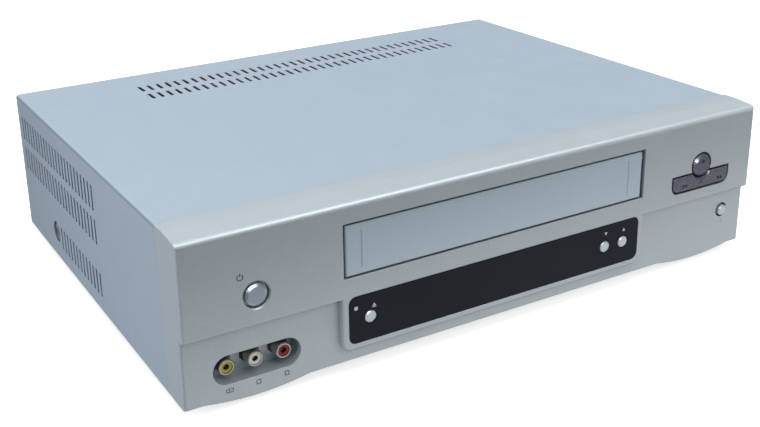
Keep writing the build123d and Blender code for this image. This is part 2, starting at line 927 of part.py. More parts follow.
with BuildPart() as front_socket_bodies:
    with BuildSketch(front_view(body_front)):
        socket_bodies_outline(0)
    extrude(amount=-(control_board_depth - body_front))
    with BuildSketch(front_view(body_front)):
        with Locations(*[(socket_x, socket_level) for socket_x in socket_columns]):
            Circle(insert_bore)
    extrude(amount=-(control_board_depth - body_front) / 2, mode=Mode.SUBTRACT)
write(front_socket_bodies.part, "front_socket_bodies")

with BuildPart() as front_socket_shells:
    for socket_x in socket_columns:
        add(turned_to_front(
            socket_x, socket_level, (body_front, shell_radius - shell_wall), (body_front, shell_radius),
            (shell_front + shell_lip, shell_radius), (shell_front, shell_radius - shell_lip),
            (shell_front, shell_radius - shell_wall)))
write(front_socket_shells.part, "front_socket_shells")


def socket_insert(x):
    """The coloured insulator inside a shell, bored for the plug's pin."""
    with BuildPart() as made:
        with BuildSketch(front_view(body_front)):
            with Locations((x, socket_level)):
                Circle(shell_radius - shell_wall - insert_gap)
                Circle(insert_bore, mode=Mode.SUBTRACT)
        extrude(amount=shell_length - insert_inset)
    return made.part


write(socket_insert(video_socket_x), "video_socket_insert")
write(socket_insert(left_socket_x), "left_socket_insert")
write(socket_insert(right_socket_x), "right_socket_insert")

# ----------------------------------------------------------------------------------------------
# Chassis pan, feet and rear panel
# ----------------------------------------------------------------------------------------------

pan_half_width = half_width - dish_depth - sheet - running_clearance
pan_front = panel_depth + cover_gap
rear_face = body_depth - sheet - touch_gap
pan_back = rear_face - rear_sheet - touch_gap
pillar_columns = (deck_left + deck_pillar_inset, deck_right - deck_pillar_inset)
pillar_rows = (deck_front + deck_pillar_inset, deck_back - deck_pillar_inset)

with BuildPart() as chassis_pan:
    with BuildSketch(plan_view(0)):
        with Locations((0, (pan_front + pan_back) / 2)):
            Rectangle(2 * pan_half_width, pan_back - pan_front)
    extrude(amount=pan_sheet)
    for side in (-1, 1):
        with BuildSketch(side_view(side * pan_half_width)):
            with Locations(((pan_front + pan_back) / 2, pan_flange / 2)):
                Rectangle(pan_back - pan_front, pan_flange)
            with Locations((side_screw_depth, side_screw_level)):
                Circle(screw_radius + running_clearance, mode=Mode.SUBTRACT)
        extrude(amount=-side * pan_sheet)
    with BuildSketch(plan_view(pan_sheet)):
        for vent_x in (transformer_x, 0):
            with Locations((vent_x, transformer_depth + pan_vent_setback)):
                with GridLocations(1, pan_vent_pitch, 1, pan_vent_count):
                    Rectangle(pan_vent_length, pan_vent_width)
    extrude(amount=-pan_sheet, mode=Mode.SUBTRACT)
write(chassis_pan.part, "chassis_pan")

with BuildPart() as feet:
    for side in (-1, 1):
        for foot_depth in (front_foot_depth, rear_foot_depth):
            add(turned_upright(
                side * foot_x, foot_depth, (0, -foot_height), (foot_radius - foot_chamfer, -foot_height),
                (foot_radius, foot_chamfer - foot_height), (foot_radius + foot_flare, 0), (0, 0)))
write(feet.part, "feet")

scart_columns = (scart_left_x, scart_left_x + scart_pitch)
aerial_columns = (tuner_x - aerial_pitch / 2, tuner_x + aerial_pitch / 2)
rear_socket_columns = (rear_socket_x, rear_socket_x + rear_socket_pitch)
tuner_top = tuner_level + tuner_height
aerial_level = tuner_level + tuner_height / 2

with BuildPart() as rear_panel:
    with BuildSketch(front_view(rear_face)) as rear_outline:
        with Locations((0, cover_inner_top / 2)):
            Rectangle(2 * (cover_inner_half - cover_gap), cover_inner_top - 2 * cover_gap)
        fillet(rear_outline.vertices().group_by(Axis.Y)[-1], cover_bend_radius)
        for scart_x in scart_columns:
            with Locations((scart_x, scart_level)):
                Rectangle(scart_width + 2 * touch_gap, scart_height + 2 * touch_gap, mode=Mode.SUBTRACT)
        for aerial_x in aerial_columns:
            with Locations((aerial_x, aerial_level)):
                Circle(aerial_radius + touch_gap, mode=Mode.SUBTRACT)
        for socket_x in rear_socket_columns:
            with Locations((socket_x, rear_socket_level)):
                Circle(shell_radius + touch_gap, mode=Mode.SUBTRACT)
        with Locations((inlet_x, inlet_level)):
            Rectangle(inlet_width + 2 * touch_gap, inlet_height + 2 * touch_gap, mode=Mode.SUBTRACT)
        with Locations((0, rear_screw_level)):
            with GridLocations(rear_screw_pitch, 1, 3, 1):
                Circle(screw_radius + running_clearance, mode=Mode.SUBTRACT)
    extrude(amount=rear_sheet)
write(rear_panel.part, "rear_panel")

rear_inside = rear_face - rear_sheet

# ----------------------------------------------------------------------------------------------
# Boards and what stands on them
# ----------------------------------------------------------------------------------------------

board_top = board_level + board_thickness
board_half_width = pan_half_width - pan_sheet - board_margin
board_front = pan_front + board_margin
board_back = pan_back - board_margin

with BuildPart() as main_board:
    with BuildSketch(plan_view(board_level)):
        with Locations((0, (board_front + board_back) / 2)):
            Rectangle(2 * board_half_width, board_back - board_front)
        for pillar_x in pillar_columns:
            for pillar_depth in pillar_rows:
                with Locations((pillar_x, pillar_depth)):
                    Circle(deck_pillar_radius + touch_gap, mode=Mode.SUBTRACT)
    extrude(amount=board_thickness)
write(main_board.part, "main_board")

standoff_columns = (-board_half_width + 2 * standoff_radius, middle_standoff_x,
                    board_half_width - 2 * standoff_radius)
standoff_rows = (board_front + 2 * standoff_radius, board_back - 2 * standoff_radius)

with BuildPart() as board_standoffs:
    with BuildSketch(plan_view(pan_sheet)):
        for standoff_x in standoff_columns:
            for standoff_depth in standoff_rows:
                with Locations((standoff_x, standoff_depth)):
                    RegularPolygon(standoff_radius, 6)
    extrude(amount=board_level - pan_sheet)
write(board_standoffs.part, "board_standoffs")

with BuildPart() as control_board:
    with BuildSketch(front_view(control_board_depth + board_thickness)):
        with BuildLine():
            wing_outer = board_half_width
            wing_inner = slot_half_width + 2 * door_lug_width
            Polyline((-wing_outer, control_board_low), (wing_outer, control_board_low),
                     (wing_outer, control_board_wing_level), (wing_inner, control_board_wing_level),
                     (wing_inner, control_board_middle_level), (-wing_inner, control_board_middle_level),
                     (-wing_inner, control_board_wing_level), (-wing_outer, control_board_wing_level),
                     close=True)
        make_face()
    extrude(amount=board_thickness)
write(control_board.part, "control_board")

tact_places = ((power_x, power_level), (stop_x, small_level), (channel_down_x, small_level),
               (channel_up_x, small_level), (record_x, small_level), (play_x, play_level),
               (play_x - rocker_stem_reach, (rocker_low + rocker_plate_high) / 2),
               (play_x + rocker_stem_reach, (rocker_low + rocker_plate_high) / 2))

with BuildPart() as tact_switches:
    with BuildSketch(front_view(control_board_depth)):
        with Locations(*tact_places):
            Rectangle(tact_size, tact_size)
    extrude(amount=tact_height)
    with BuildSketch(front_view(control_board_depth - tact_height)):
        with Locations(*tact_places):
            Circle(tact_plunger_radius)
    extrude(amount=tact_plunger_length)
write(tact_switches.part, "tact_switches")

with BuildPart() as display_tube:
    with BuildSketch(front_view(control_board_depth)):
        with Locations((display_x, (window_low + window_high) / 2)):
            Rectangle(display_width, display_height)
    extrude(amount=display_thickness)
    chamfer(display_tube.faces().sort_by(Axis.Y)[0].edges(), touch_gap)
write(display_tube.part, "display_tube")

with BuildPart() as transformer:
    with BuildSketch(plan_view(board_top)):
        with Locations((transformer_x, transformer_depth)):
            Rectangle(transformer_width, transformer_core_length)
    extrude(amount=transformer_height)
    with BuildSketch(plan_view(board_top + transformer_coil_margin)):
        with Locations((transformer_x, transformer_depth)):
            Rectangle(transformer_coil_width, transformer_length)
    extrude(amount=transformer_height - 2 * transformer_coil_margin)
write(transformer.part, "transformer")

with BuildPart() as heatsink:
    with BuildSketch(plan_view(board_top)):
        with Locations((heatsink_x, heatsink_depth)):
            Rectangle(heatsink_sheet, heatsink_length)
        with Locations((heatsink_x + heatsink_fin_length / 2, heatsink_depth)):
            with GridLocations(1, heatsink_fin_pitch, 1, heatsink_fin_count):
                Rectangle(heatsink_fin_length, heatsink_sheet)
    extrude(amount=heatsink_height)
write(heatsink.part, "heatsink")

with BuildPart() as capacitors:
    for capacitor_depth, share in ((transformer_depth - front_capacitor_gap, 1),
                                   (transformer_depth + rear_capacitor_gap, rear_capacitor_share)):
        can_radius = capacitor_radius * share
        can_top = board_top + capacitor_height * share
        add(turned_upright(
            transformer_x, capacitor_depth, (0, board_top), (can_radius, board_top),
            (can_radius, can_top - capacitor_chamfer), (can_radius - capacitor_chamfer, can_top),
            (0, can_top)))
write(capacitors.part, "capacitors")

# ----------------------------------------------------------------------------------------------
# Sockets of the rear panel
# ----------------------------------------------------------------------------------------------

tuner_middle_depth = rear_inside - touch_gap - tuner_length / 2
connector_end = body_depth + connector_proud

with BuildPart() as tuner:
    with BuildSketch(plan_view(tuner_level)):
        with Locations((tuner_x, tuner_middle_depth)):
            Rectangle(tuner_width, tuner_length)
    extrude(amount=tuner_height)
    with BuildSketch(plan_view(board_top)):
        with Locations((tuner_x, tuner_middle_depth)):
            with GridLocations(tuner_width - 2 * tuner_leg_inset, tuner_length - 2 * tuner_leg_inset, 2, 2):
                Rectangle(tuner_leg_width, tuner_leg_sheet)
    extrude(amount=tuner_level - board_top)
    with BuildSketch(front_view(rear_inside - touch_gap)):
        for aerial_x in aerial_columns:
            with Locations((aerial_x, aerial_level)):
                Circle(aerial_radius)
    extrude(amount=-(connector_end - rear_inside + touch_gap))
    with BuildSketch(front_view(connector_end)):
        for aerial_x in aerial_columns:
            with Locations((aerial_x, aerial_level)):
                Circle(aerial_radius - aerial_wall)
                Circle(aerial_pin_radius, mode=Mode.SUBTRACT)
    extrude(amount=connector_proud, mode=Mode.SUBTRACT)
write(tuner.part, "tuner")

scart_places = [(scart_x, scart_level) for scart_x in scart_columns]


def scart_outline(margin):
    """Draws the sockets' shrouds, slanted along one side as the plug is, drawn in by a margin."""
    with BuildSketch(mode=Mode.PRIVATE) as shroud:
        Rectangle(scart_width - 2 * margin, scart_height - 2 * margin)
        chamfer(shroud.vertices().group_by(Axis.X)[0], scart_slant - margin / 2)
    with Locations(*scart_places):
        add(shroud.sketch)


with BuildPart() as scart_sockets:
    with BuildSketch(front_view(body_depth)):
        scart_outline(0)
    extrude(amount=scart_length)
    with BuildSketch(front_view(body_depth)):
        scart_outline(scart_wall)
        with Locations(*scart_places):
            Rectangle(scart_tongue_width, scart_tongue_height, mode=Mode.SUBTRACT)
    extrude(amount=scart_length - scart_floor, mode=Mode.SUBTRACT)
    with BuildSketch(plan_view(board_top)):
        with Locations(*[(scart_x, body_depth - scart_stand_setback) for scart_x in scart_columns]):
            Rectangle(scart_width - 2 * scart_stand_margin, scart_stand_length)
    extrude(amount=scart_level - scart_height / 2 - board_top)
write(scart_sockets.part, "scart_sockets")

rear_socket_places = [(socket_x, rear_socket_level) for socket_x in rear_socket_columns]

with BuildPart() as rear_socket_bodies:
    with BuildSketch(plan_view(board_top)):
        with Locations(*[(socket_x, rear_inside - touch_gap - rear_body_length / 2)
                         for socket_x in rear_socket_columns]):
            Rectangle(socket_body_width, rear_body_length)
    extrude(amount=rear_socket_level + rear_body_rise - board_top)
    with BuildSketch(front_view(rear_inside - touch_gap)):
        with Locations(*rear_socket_places):
            Circle(shell_radius - shell_wall - insert_gap)
    extrude(amount=-shell_length)
    with BuildSketch(front_view(rear_inside - touch_gap + shell_length)):
        with Locations(*rear_socket_places):
            Circle(insert_bore)
    extrude(amount=shell_length, mode=Mode.SUBTRACT)
write(rear_socket_bodies.part, "rear_socket_bodies")

with BuildPart() as rear_socket_shells:
    with BuildSketch(front_view(rear_inside - touch_gap)):
        with Locations(*rear_socket_places):
            Circle(shell_radius)
            Circle(shell_radius - shell_wall, mode=Mode.SUBTRACT)
    extrude(amount=-shell_length)
write(rear_socket_shells.part, "rear_socket_shells")

with BuildPart() as mains_inlet:
    with BuildSketch(front_view(rear_face + inlet_proud)):
        with Locations((inlet_x, inlet_level)):
            Rectangle(inlet_width, inlet_height)
    extrude(amount=inlet_length)
    with BuildSketch(front_view(rear_face + inlet_proud)):
        with Locations((inlet_x, inlet_level)):
            SlotOverall(inlet_width - 2 * inlet_wall, inlet_height - 2 * inlet_wall)
    extrude(amount=inlet_length - inlet_floor, mode=Mode.SUBTRACT)
    with BuildSketch(front_view(rear_face - inlet_pin_sink)):
        with Locations((inlet_x, inlet_level)):
            with GridLocations(inlet_pin_pitch, 1, 2, 1):
                Circle(inlet_pin_radius)
    extrude(amount=inlet_pin_length)
    with BuildSketch(plan_view(board_top)):
        with Locations((inlet_x, rear_inside - inlet_length / 2)):
            Rectangle(inlet_stand_width, inlet_stand_length)
    extrude(amount=inlet_level - inlet_height / 2 - board_top)
write(mains_inlet.part, "mains_inlet")

# ----------------------------------------------------------------------------------------------
# Tape deck: the plate, its pillars and what is fixed to it
# ----------------------------------------------------------------------------------------------

deck_top = deck_level + deck_sheet
clutch_depth = reel_depth + clutch_hub_radius + touch_gap + idler_radius
idler_reach = clutch_hub_radius + touch_gap + idler_radius
idler_far_x = idler_reach * sin(radians(idler_swing))
idler_far_depth = clutch_depth - idler_reach * cos(radians(idler_swing))
reel_radius = hypot(reel_x - idler_far_x, reel_depth - idler_far_depth) - idler_radius - touch_gap
guide_reach = hypot(guide_start_x + guide_centre_x, guide_start_depth - guide_centre_depth)
guide_start_angle = degrees(atan2(guide_start_depth - guide_centre_depth, guide_start_x + guide_centre_x))
capstan_holder_bore = capstan_holder_radius + running_clearance


def guide_track(side, half_slot):
    """Draws one threading guide's curved track; side is 1 on the take-up side, -1 on the supply."""
    with BuildSketch(mode=Mode.PRIVATE) as track:
        with BuildLine():
            track_arc = CenterArc((-guide_centre_x, guide_centre_depth), guide_reach,
                                  guide_start_angle, guide_swing)
        SlotArc(track_arc, 2 * half_slot)
    if side > 0:
        add(track.sketch)
    else:
        add(mirror(track.sketch, about=Plane.YZ.offset(drum_x), mode=Mode.PRIVATE))


with BuildPart() as deck_plate:
    with BuildSketch(plan_view(deck_level)):
        with Locations(((deck_left + deck_right) / 2, (deck_front + deck_back) / 2)):
            RectangleRounded(deck_right - deck_left, deck_back - deck_front, deck_corner)
        with Locations((0, clutch_depth)):
            Circle(clutch_shaft_radius + running_clearance, mode=Mode.SUBTRACT)
        with Locations((capstan_x, capstan_depth)):
            Circle(capstan_holder_bore, mode=Mode.SUBTRACT)
        with Locations((cam_gear_x, cam_gear_depth)):
            Circle(stub_radius + running_clearance, mode=Mode.SUBTRACT)
        with BuildSketch(mode=Mode.PRIVATE) as tracks:
            for side in (-1, 1):
                guide_track(side, guide_pin_width / 2 + running_clearance)
        add(tracks.sketch, mode=Mode.SUBTRACT)
    extrude(amount=deck_sheet)
write(deck_plate.part, "deck_plate")

with BuildPart() as deck_pins:
    with BuildSketch(plan_view(deck_top)):
        with Locations((-reel_x, reel_depth), (reel_x, reel_depth)):
            Circle(reel_shaft_radius)
    extrude(amount=reel_lift + reel_height + reel_hub_height)
    with BuildSketch(plan_view(deck_top)):
        with Locations((pinch_pivot_x, pinch_pivot_depth), (tension_pivot_x, tension_pivot_depth)):
            Circle(pivot_pin_radius)
    extrude(amount=pinch_arm_level + pinch_arm_sheet + pivot_pin_rise - deck_top)
    with BuildSketch(plan_view(pan_sheet)):
        for pillar_x in pillar_columns:
            for pillar_depth in pillar_rows:
                with Locations((pillar_x, pillar_depth)):
                    Circle(deck_pillar_radius)
    extrude(amount=deck_level - pan_sheet)
write(deck_pins.part, "deck_pins")


# ----------------------------------------------------------------------------------------------
# Cassette carriage: side brackets with L-shaped tracks, the holder, its slider and drive gear
# ----------------------------------------------------------------------------------------------

front_pin_depth = holder_front + front_pin_inset
rear_pin_depth = holder_front + holder_length - rear_pin_inset
holder_pins = ((front_pin_depth, front_pin_level), (rear_pin_depth, rear_pin_level))
track_width = 2 * (guide_pin_radius + guide_pin_gap)
slider_inner = bracket_inner + bracket_sheet + slider_gap
slider_outer = slider_inner + slider_width
pinion_radius = rack_module * carriage_gear_teeth / 2
pitch_level = rack_level + rack_module
carriage_gear_level = pitch_level - pinion_radius
gear_thickness = slider_width + 1.0


def bracket(side):
    """One side of the cassette carriage, standing on the deck; side is 1 on the right."""
    with BuildPart() as made:
        with BuildSketch(side_view(side * bracket_inner)):
            with Locations(((bracket_front + bracket_back) / 2, (deck_top + bracket_top) / 2)):
                Rectangle(bracket_back - bracket_front, bracket_top - deck_top)
            for pin_depth, pin_level in holder_pins:
                with Locations((pin_depth + carriage_travel / 2, pin_level)):
                    SlotOverall(carriage_travel + track_width, track_width, mode=Mode.SUBTRACT)
                with Locations((pin_depth + carriage_travel, pin_level - carriage_drop / 2)):
                    SlotOverall(carriage_drop + track_width, track_width, rotation=90,
                                mode=Mode.SUBTRACT)
        extrude(amount=side * bracket_sheet)
        with BuildSketch(plan_view(deck_top)):
            with Locations((side * (bracket_inner + bracket_foot / 2), (bracket_front + bracket_back) / 2)):
                Rectangle(bracket_foot, bracket_back - bracket_front)
        extrude(amount=bracket_sheet)
        if side > 0:
            with BuildSketch(side_view(bracket_inner + bracket_sheet)):
                with Locations((carriage_gear_depth, carriage_gear_level)):
                    Circle(stub_radius)
            extrude(amount=slider_gap + gear_thickness)
    return made.part


write(bracket(-1), "left_bracket")
write(bracket(1), "right_bracket")

with BuildPart() as top_brace:
    with BuildSketch(plan_view(bracket_top)):
        with Locations((0, bracket_back - brace_inset)):
            Rectangle(2 * (bracket_inner + bracket_sheet), brace_length)
    extrude(amount=bracket_sheet)
write(top_brace.part, "top_brace")

with BuildPart() as cassette_holder:
    with BuildSketch(front_view(holder_front + holder_length)):
        with Locations((0, holder_floor + holder_height / 2)):
            Rectangle(2 * holder_half_width, holder_height)
            Rectangle(2 * (holder_half_width - holder_sheet), holder_height - 2 * holder_sheet,
                      mode=Mode.SUBTRACT)
    extrude(amount=holder_length)
    with BuildSketch(plan_view(holder_floor)):
        with Locations((0, holder_front + holder_length / 2)):
            Rectangle(2 * (holder_half_width - holder_lip), holder_length)
    extrude(amount=holder_sheet, mode=Mode.SUBTRACT)
    with BuildSketch(plan_view(holder_floor + holder_height)):
        for side in (-1, 1):
            with Locations((side * holder_half_width / 2, holder_front + holder_length / 2)):
                Rectangle(holder_window_width, holder_length - 2 * holder_window_margin)
    extrude(amount=-holder_sheet, mode=Mode.SUBTRACT)
    for side, pin_end in ((-1, bracket_inner + bracket_sheet + slider_gap), (1, slider_outer)):
        with BuildSketch(side_view(side * holder_half_width)):
            with Locations(*holder_pins):
                Circle(guide_pin_radius)
        extrude(amount=side * (pin_end - holder_half_width))
write(cassette_holder.part, "cassette_holder")


def gear_profile(teeth, module, play):
    """Draws a spur gear with straight-sided teeth, the first one on +X."""
    pitch_radius = teeth * module / 2
    root_radius = pitch_radius - dedendum * module
    tip_radius = pitch_radius + addendum * module
    sunk_radius = root_radius - tooth_sink * module
    pitch_half = pi * module / 4 - play / 2
    root_half = pitch_half + dedendum * module * tan(radians(pressure_angle))
    tip_half = pitch_half - addendum * module * tan(radians(pressure_angle))
    Circle(root_radius)
    with PolarLocations(0, teeth):
        Polygon((sunk_radius, -root_half), (tip_radius, -tip_half), (tip_radius, tip_half),
                (sunk_radius, root_half), align=None)


tooth_pitch = pi * rack_module
rack_tooth_count = int((rack_back - rack_front) / tooth_pitch)
rack_half_tooth = tooth_pitch / 4 - tooth_play / 2
rack_tip_half = rack_half_tooth - addendum * rack_module * tan(radians(pressure_angle))
rack_root_half = rack_half_tooth + dedendum * rack_module * tan(radians(pressure_angle))
rack_root_level = pitch_level + dedendum * rack_module
rack_sunk_level = rack_root_level + tooth_sink * rack_module
rack_tip_level = pitch_level - addendum * rack_module
slider_top = rear_pin_level + slider_rise

with BuildPart() as carriage_slider:
    with BuildSketch(side_view(slider_inner)):
        with Locations(((rack_front + rack_back) / 2, rack_root_level + rack_bar_height / 2)):
            Rectangle(rack_back - rack_front, rack_bar_height)
        with Locations(((front_pin_depth + rear_pin_depth) / 2, (rack_root_level + slider_top) / 2)):
            Rectangle(rear_pin_depth - front_pin_depth + 2 * slider_margin, slider_top - rack_root_level)
        for step in range(rack_tooth_count):
            with Locations((carriage_gear_depth - (step - 2) * tooth_pitch, 0)):
                Polygon((-rack_root_half, rack_sunk_level), (-rack_tip_half, rack_tip_level),
                        (rack_tip_half, rack_tip_level), (rack_root_half, rack_sunk_level), align=None)
        with Locations(*holder_pins):
            Circle(guide_pin_radius + guide_pin_gap, mode=Mode.SUBTRACT)
    extrude(amount=slider_width)
write(carriage_slider.part, "carriage_slider")

with BuildPart() as carriage_gear:
    gear_centre = side_view(bracket_inner + bracket_sheet + slider_gap).from_local_coords(
        (carriage_gear_depth, carriage_gear_level))
    with BuildSketch(Plane(origin=gear_centre, x_dir=(0, 1, 0), z_dir=(1, 0, 0))) as gear_face:
        with BuildSketch(mode=Mode.PRIVATE) as gear_teeth:
            gear_profile(carriage_gear_teeth, rack_module, tooth_play)
        add(gear_teeth.sketch, rotation=90 - 180 / carriage_gear_teeth)
        Circle(stub_radius + running_clearance, mode=Mode.SUBTRACT)
    extrude(amount=gear_thickness)
write(carriage_gear.part, "carriage_gear")

# ----------------------------------------------------------------------------------------------
# Head drum: a leaning fixed lower drum and a spinning upper drum with six heads
# ----------------------------------------------------------------------------------------------

lean_sine = sin(radians(drum_tilt))
lean_cosine = cos(radians(drum_tilt))
drum_axis = Plane(origin=(drum_x, front_y + drum_depth, base_z + drum_level),
                  x_dir=(lean_cosine, 0, lean_sine), z_dir=(-lean_sine, 0, lean_cosine))

with BuildPart() as lower_drum:
    with BuildSketch(drum_axis.offset(-drum_skirt)):
        Circle(drum_radius)
    extrude(amount=drum_skirt + lower_drum_height)
    with BuildSketch(drum_axis.offset(-drum_skirt)):
        Circle(drum_radius + drum_rim_reach)
    extrude(amount=drum_skirt + drum_rim_height)
    with BuildSketch(plan_view(deck_top)):
        with Locations((drum_x, drum_depth)):
            Circle(2 * drum_radius)
    extrude(amount=-2 * drum_skirt, mode=Mode.SUBTRACT)
    with BuildSketch(drum_axis.offset(lower_drum_height)):
        Circle(drum_shaft_radius + running_clearance)
    extrude(amount=-lower_drum_height, mode=Mode.SUBTRACT)
write(lower_drum.part, "lower_drum")

upper_low = lower_drum_height + drum_gap

with BuildPart() as upper_drum:
    with BuildSketch(drum_axis.offset(upper_low)):
        Circle(drum_radius)
    extrude(amount=upper_drum_height)
    chamfer(upper_drum.edges().group_by(SortBy.LENGTH)[-1].sort_by(Axis.Z)[-1], drum_chamfer)
    with BuildSketch(drum_axis.offset(upper_low)):
        with PolarLocations(drum_radius, head_count):
            Rectangle(head_window_depth, head_window_width)
    extrude(amount=head_window_height, mode=Mode.SUBTRACT)
    with BuildSketch(drum_axis.offset(upper_low + upper_drum_height)):
        Circle(drum_radius - drum_well_margin)
        Circle(drum_boss_radius, mode=Mode.SUBTRACT)
    extrude(amount=-drum_well_depth, mode=Mode.SUBTRACT)
    with BuildSketch(drum_axis.offset(upper_low + upper_drum_height)):
        Circle(drum_boss_radius - drum_cap_margin)
    extrude(amount=drum_boss_height)
    with BuildSketch(drum_axis.offset(upper_low)):
        Circle(drum_shaft_radius)
    extrude(amount=-(upper_low - drum_shaft_clearance))
write(upper_drum.part, "upper_drum")

# ----------------------------------------------------------------------------------------------
# Reels, clutch and idler
# ----------------------------------------------------------------------------------------------

reel_low = deck_top + reel_lift


def reel(x):
    """A reel table: a rimmed disc, its hub and a splined spindle, turning on a pin of the deck."""
    bore = reel_shaft_radius + running_clearance
    rim_top = reel_low + reel_height
    hub_top = rim_top + reel_hub_height
    spindle_top = rim_top + spindle_height
    spline_length = spline_reach - spindle_radius + spline_sink
    with BuildPart() as made:
        add(turned_upright(
            x, reel_depth, (bore, reel_low), (reel_radius, reel_low), (reel_radius, rim_top),
            (reel_radius - reel_rim_width, rim_top),
            (reel_radius - reel_rim_width - reel_rim_slope, rim_top - reel_dish),
            (reel_hub_radius, rim_top - reel_dish), (reel_hub_radius, hub_top), (spindle_radius, hub_top),
            (spindle_radius, spindle_top - spindle_cone_height),
            (spindle_radius - spindle_cone_run, spindle_top), (0, spindle_top), (0, hub_top),
            (bore, hub_top)))
        with BuildSketch(plan_view(hub_top)):
            with Locations((x, reel_depth)):
                with PolarLocations(spline_reach - spline_length / 2, spline_count):
                    Rectangle(spline_length, spline_width)
        extrude(amount=spindle_height - reel_hub_height - spline_drop)
    return made.part


write(reel(-reel_x), "supply_reel")
write(reel(reel_x), "takeup_reel")

pulley_high = deck_level - touch_gap
pulley_low = pulley_high - pulley_height
hub_low = deck_top + touch_gap
hub_high = hub_low + idler_height + clutch_hub_rise
idler_low = reel_low + idler_lift
idler_arm_low = max(hub_high, idler_low + idler_height) + touch_gap
clutch_top = idler_arm_low + idler_arm_sheet + clutch_shaft_rise


def pulley_points(radius):
    """Half the section of a pulley with a belt groove, from its low rim to its high rim."""
    return ((radius + pulley_rim, pulley_low), (radius + pulley_rim, pulley_low + pulley_rim / 2),
            (radius, pulley_low + pulley_rim / 2), (radius, pulley_high - pulley_rim / 2),
            (radius + pulley_rim, pulley_high - pulley_rim / 2), (radius + pulley_rim, pulley_high))


clutch_pulley = turned_upright(
    0, clutch_depth, (0, pulley_low), *pulley_points(clutch_pulley_radius),
    (clutch_shaft_radius, pulley_high), (clutch_shaft_radius, hub_low), (clutch_hub_radius, hub_low),
    (clutch_hub_radius, hub_high), (clutch_shaft_radius, hub_high), (clutch_shaft_radius, clutch_top),
    (0, clutch_top))
write(clutch_pulley, "clutch_pulley")

with BuildPart() as idler_arm:
    with BuildSketch(plan_view(idler_arm_low)):
        with Locations((0, clutch_depth), (0, clutch_depth - idler_reach)):
            Circle(idler_arm_width / 2)
        make_hull()
        with Locations((0, clutch_depth)):
            Circle(clutch_shaft_radius + running_clearance, mode=Mode.SUBTRACT)
    extrude(amount=idler_arm_sheet)
    with BuildSketch(plan_view(idler_arm_low)):
        with Locations((0, clutch_depth - idler_reach)):
            Circle(idler_pin_radius)
    extrude(amount=-(idler_arm_low - idler_low))
write(idler_arm.part, "idler_arm")

with BuildPart() as idler_wheel:
    with BuildSketch(plan_view(idler_low)):
        with Locations((0, clutch_depth - idler_reach)):
            Circle(idler_radius)
            Circle(idler_pin_radius + running_clearance, mode=Mode.SUBTRACT)
    extrude(amount=idler_height)
write(idler_wheel.part, "idler_wheel")

# ----------------------------------------------------------------------------------------------
# Capstan, belt and pinch roller
# ----------------------------------------------------------------------------------------------

with BuildPart() as capstan_holder:
    add(turned_upright(
        capstan_x, capstan_depth, (capstan_radius + running_clearance, deck_level),
        (capstan_holder_radius, deck_level), (capstan_holder_radius, deck_top),
        (capstan_holder_flange, deck_top), (capstan_holder_flange, deck_top + capstan_holder_sheet),
        (capstan_holder_radius, deck_top + capstan_holder_sheet),
        (capstan_holder_radius, capstan_holder_top),
        (capstan_radius + running_clearance, capstan_holder_top)))
write(capstan_holder.part, "capstan_holder")

flywheel_top = flywheel_low + flywheel_height
rotor = turned_upright(
    capstan_x, capstan_depth, (0, flywheel_low), (flywheel_radius, flywheel_low),
    (flywheel_radius, flywheel_top), (flywheel_radius - flywheel_rim, flywheel_top),
    (flywheel_radius - flywheel_rim - flywheel_slope, flywheel_top - flywheel_dish),
    (capstan_pulley_radius, flywheel_top - flywheel_dish), (capstan_pulley_radius, pulley_low),
    *pulley_points(capstan_pulley_radius), (0, pulley_high))
shaft = turned_upright(capstan_x, capstan_depth, (0, pulley_high), (capstan_radius, pulley_high),
                       (capstan_radius, capstan_top), (0, capstan_top))
write(Compound(children=[rotor, shaft]), "capstan_flywheel")

belt_level = (pulley_low + pulley_high) / 2 - belt_width / 2
with BuildPart() as capstan_belt:
    with BuildSketch(plan_view(belt_level)):
        with Locations((0, clutch_depth)):
            Circle(clutch_pulley_radius + belt_gap + belt_thickness)
        with Locations((capstan_x, capstan_depth)):
            Circle(capstan_pulley_radius + belt_gap + belt_thickness)
        make_hull()
        with BuildSketch(mode=Mode.PRIVATE) as belt_inside:
            with Locations((0, clutch_depth)):
                Circle(clutch_pulley_radius + belt_gap)
            with Locations((capstan_x, capstan_depth)):
                Circle(capstan_pulley_radius + belt_gap)
            make_hull()
        add(belt_inside.sketch, mode=Mode.SUBTRACT)
    extrude(amount=belt_width)
write(capstan_belt.part, "capstan_belt")

pinch_offset = capstan_radius + touch_gap + pinch_radius
pivot_span = hypot(capstan_x - pinch_pivot_x, capstan_depth - pinch_pivot_depth)
pivot_bearing = atan2(capstan_depth - pinch_pivot_depth, capstan_x - pinch_pivot_x)
pinch_close = acos((pinch_arm_length ** 2 + pivot_span ** 2 - pinch_offset ** 2)
                   / (2 * pinch_arm_length * pivot_span))
pinch_rest = pivot_bearing + pinch_close + radians(pinch_swing)
pinch_x = pinch_pivot_x + pinch_arm_length * cos(pinch_rest)
pinch_depth = pinch_pivot_depth + pinch_arm_length * sin(pinch_rest)

with BuildPart() as pinch_arm:
    with BuildSketch(plan_view(pinch_arm_level)):
        with Locations((pinch_pivot_x, pinch_pivot_depth), (pinch_x, pinch_depth)):
            Circle(arm_boss_radius)
        make_hull()
        with Locations((pinch_pivot_x, pinch_pivot_depth)):
            Circle(pivot_pin_radius + running_clearance, mode=Mode.SUBTRACT)
    extrude(amount=pinch_arm_sheet)
    with BuildSketch(plan_view(pinch_arm_level + pinch_arm_sheet)):
        with Locations((pinch_x, pinch_depth)):
            Circle(pivot_pin_radius)
    extrude(amount=pinch_level + pinch_height + pinch_pin_rise - pinch_arm_level - pinch_arm_sheet)
write(pinch_arm.part, "pinch_arm")

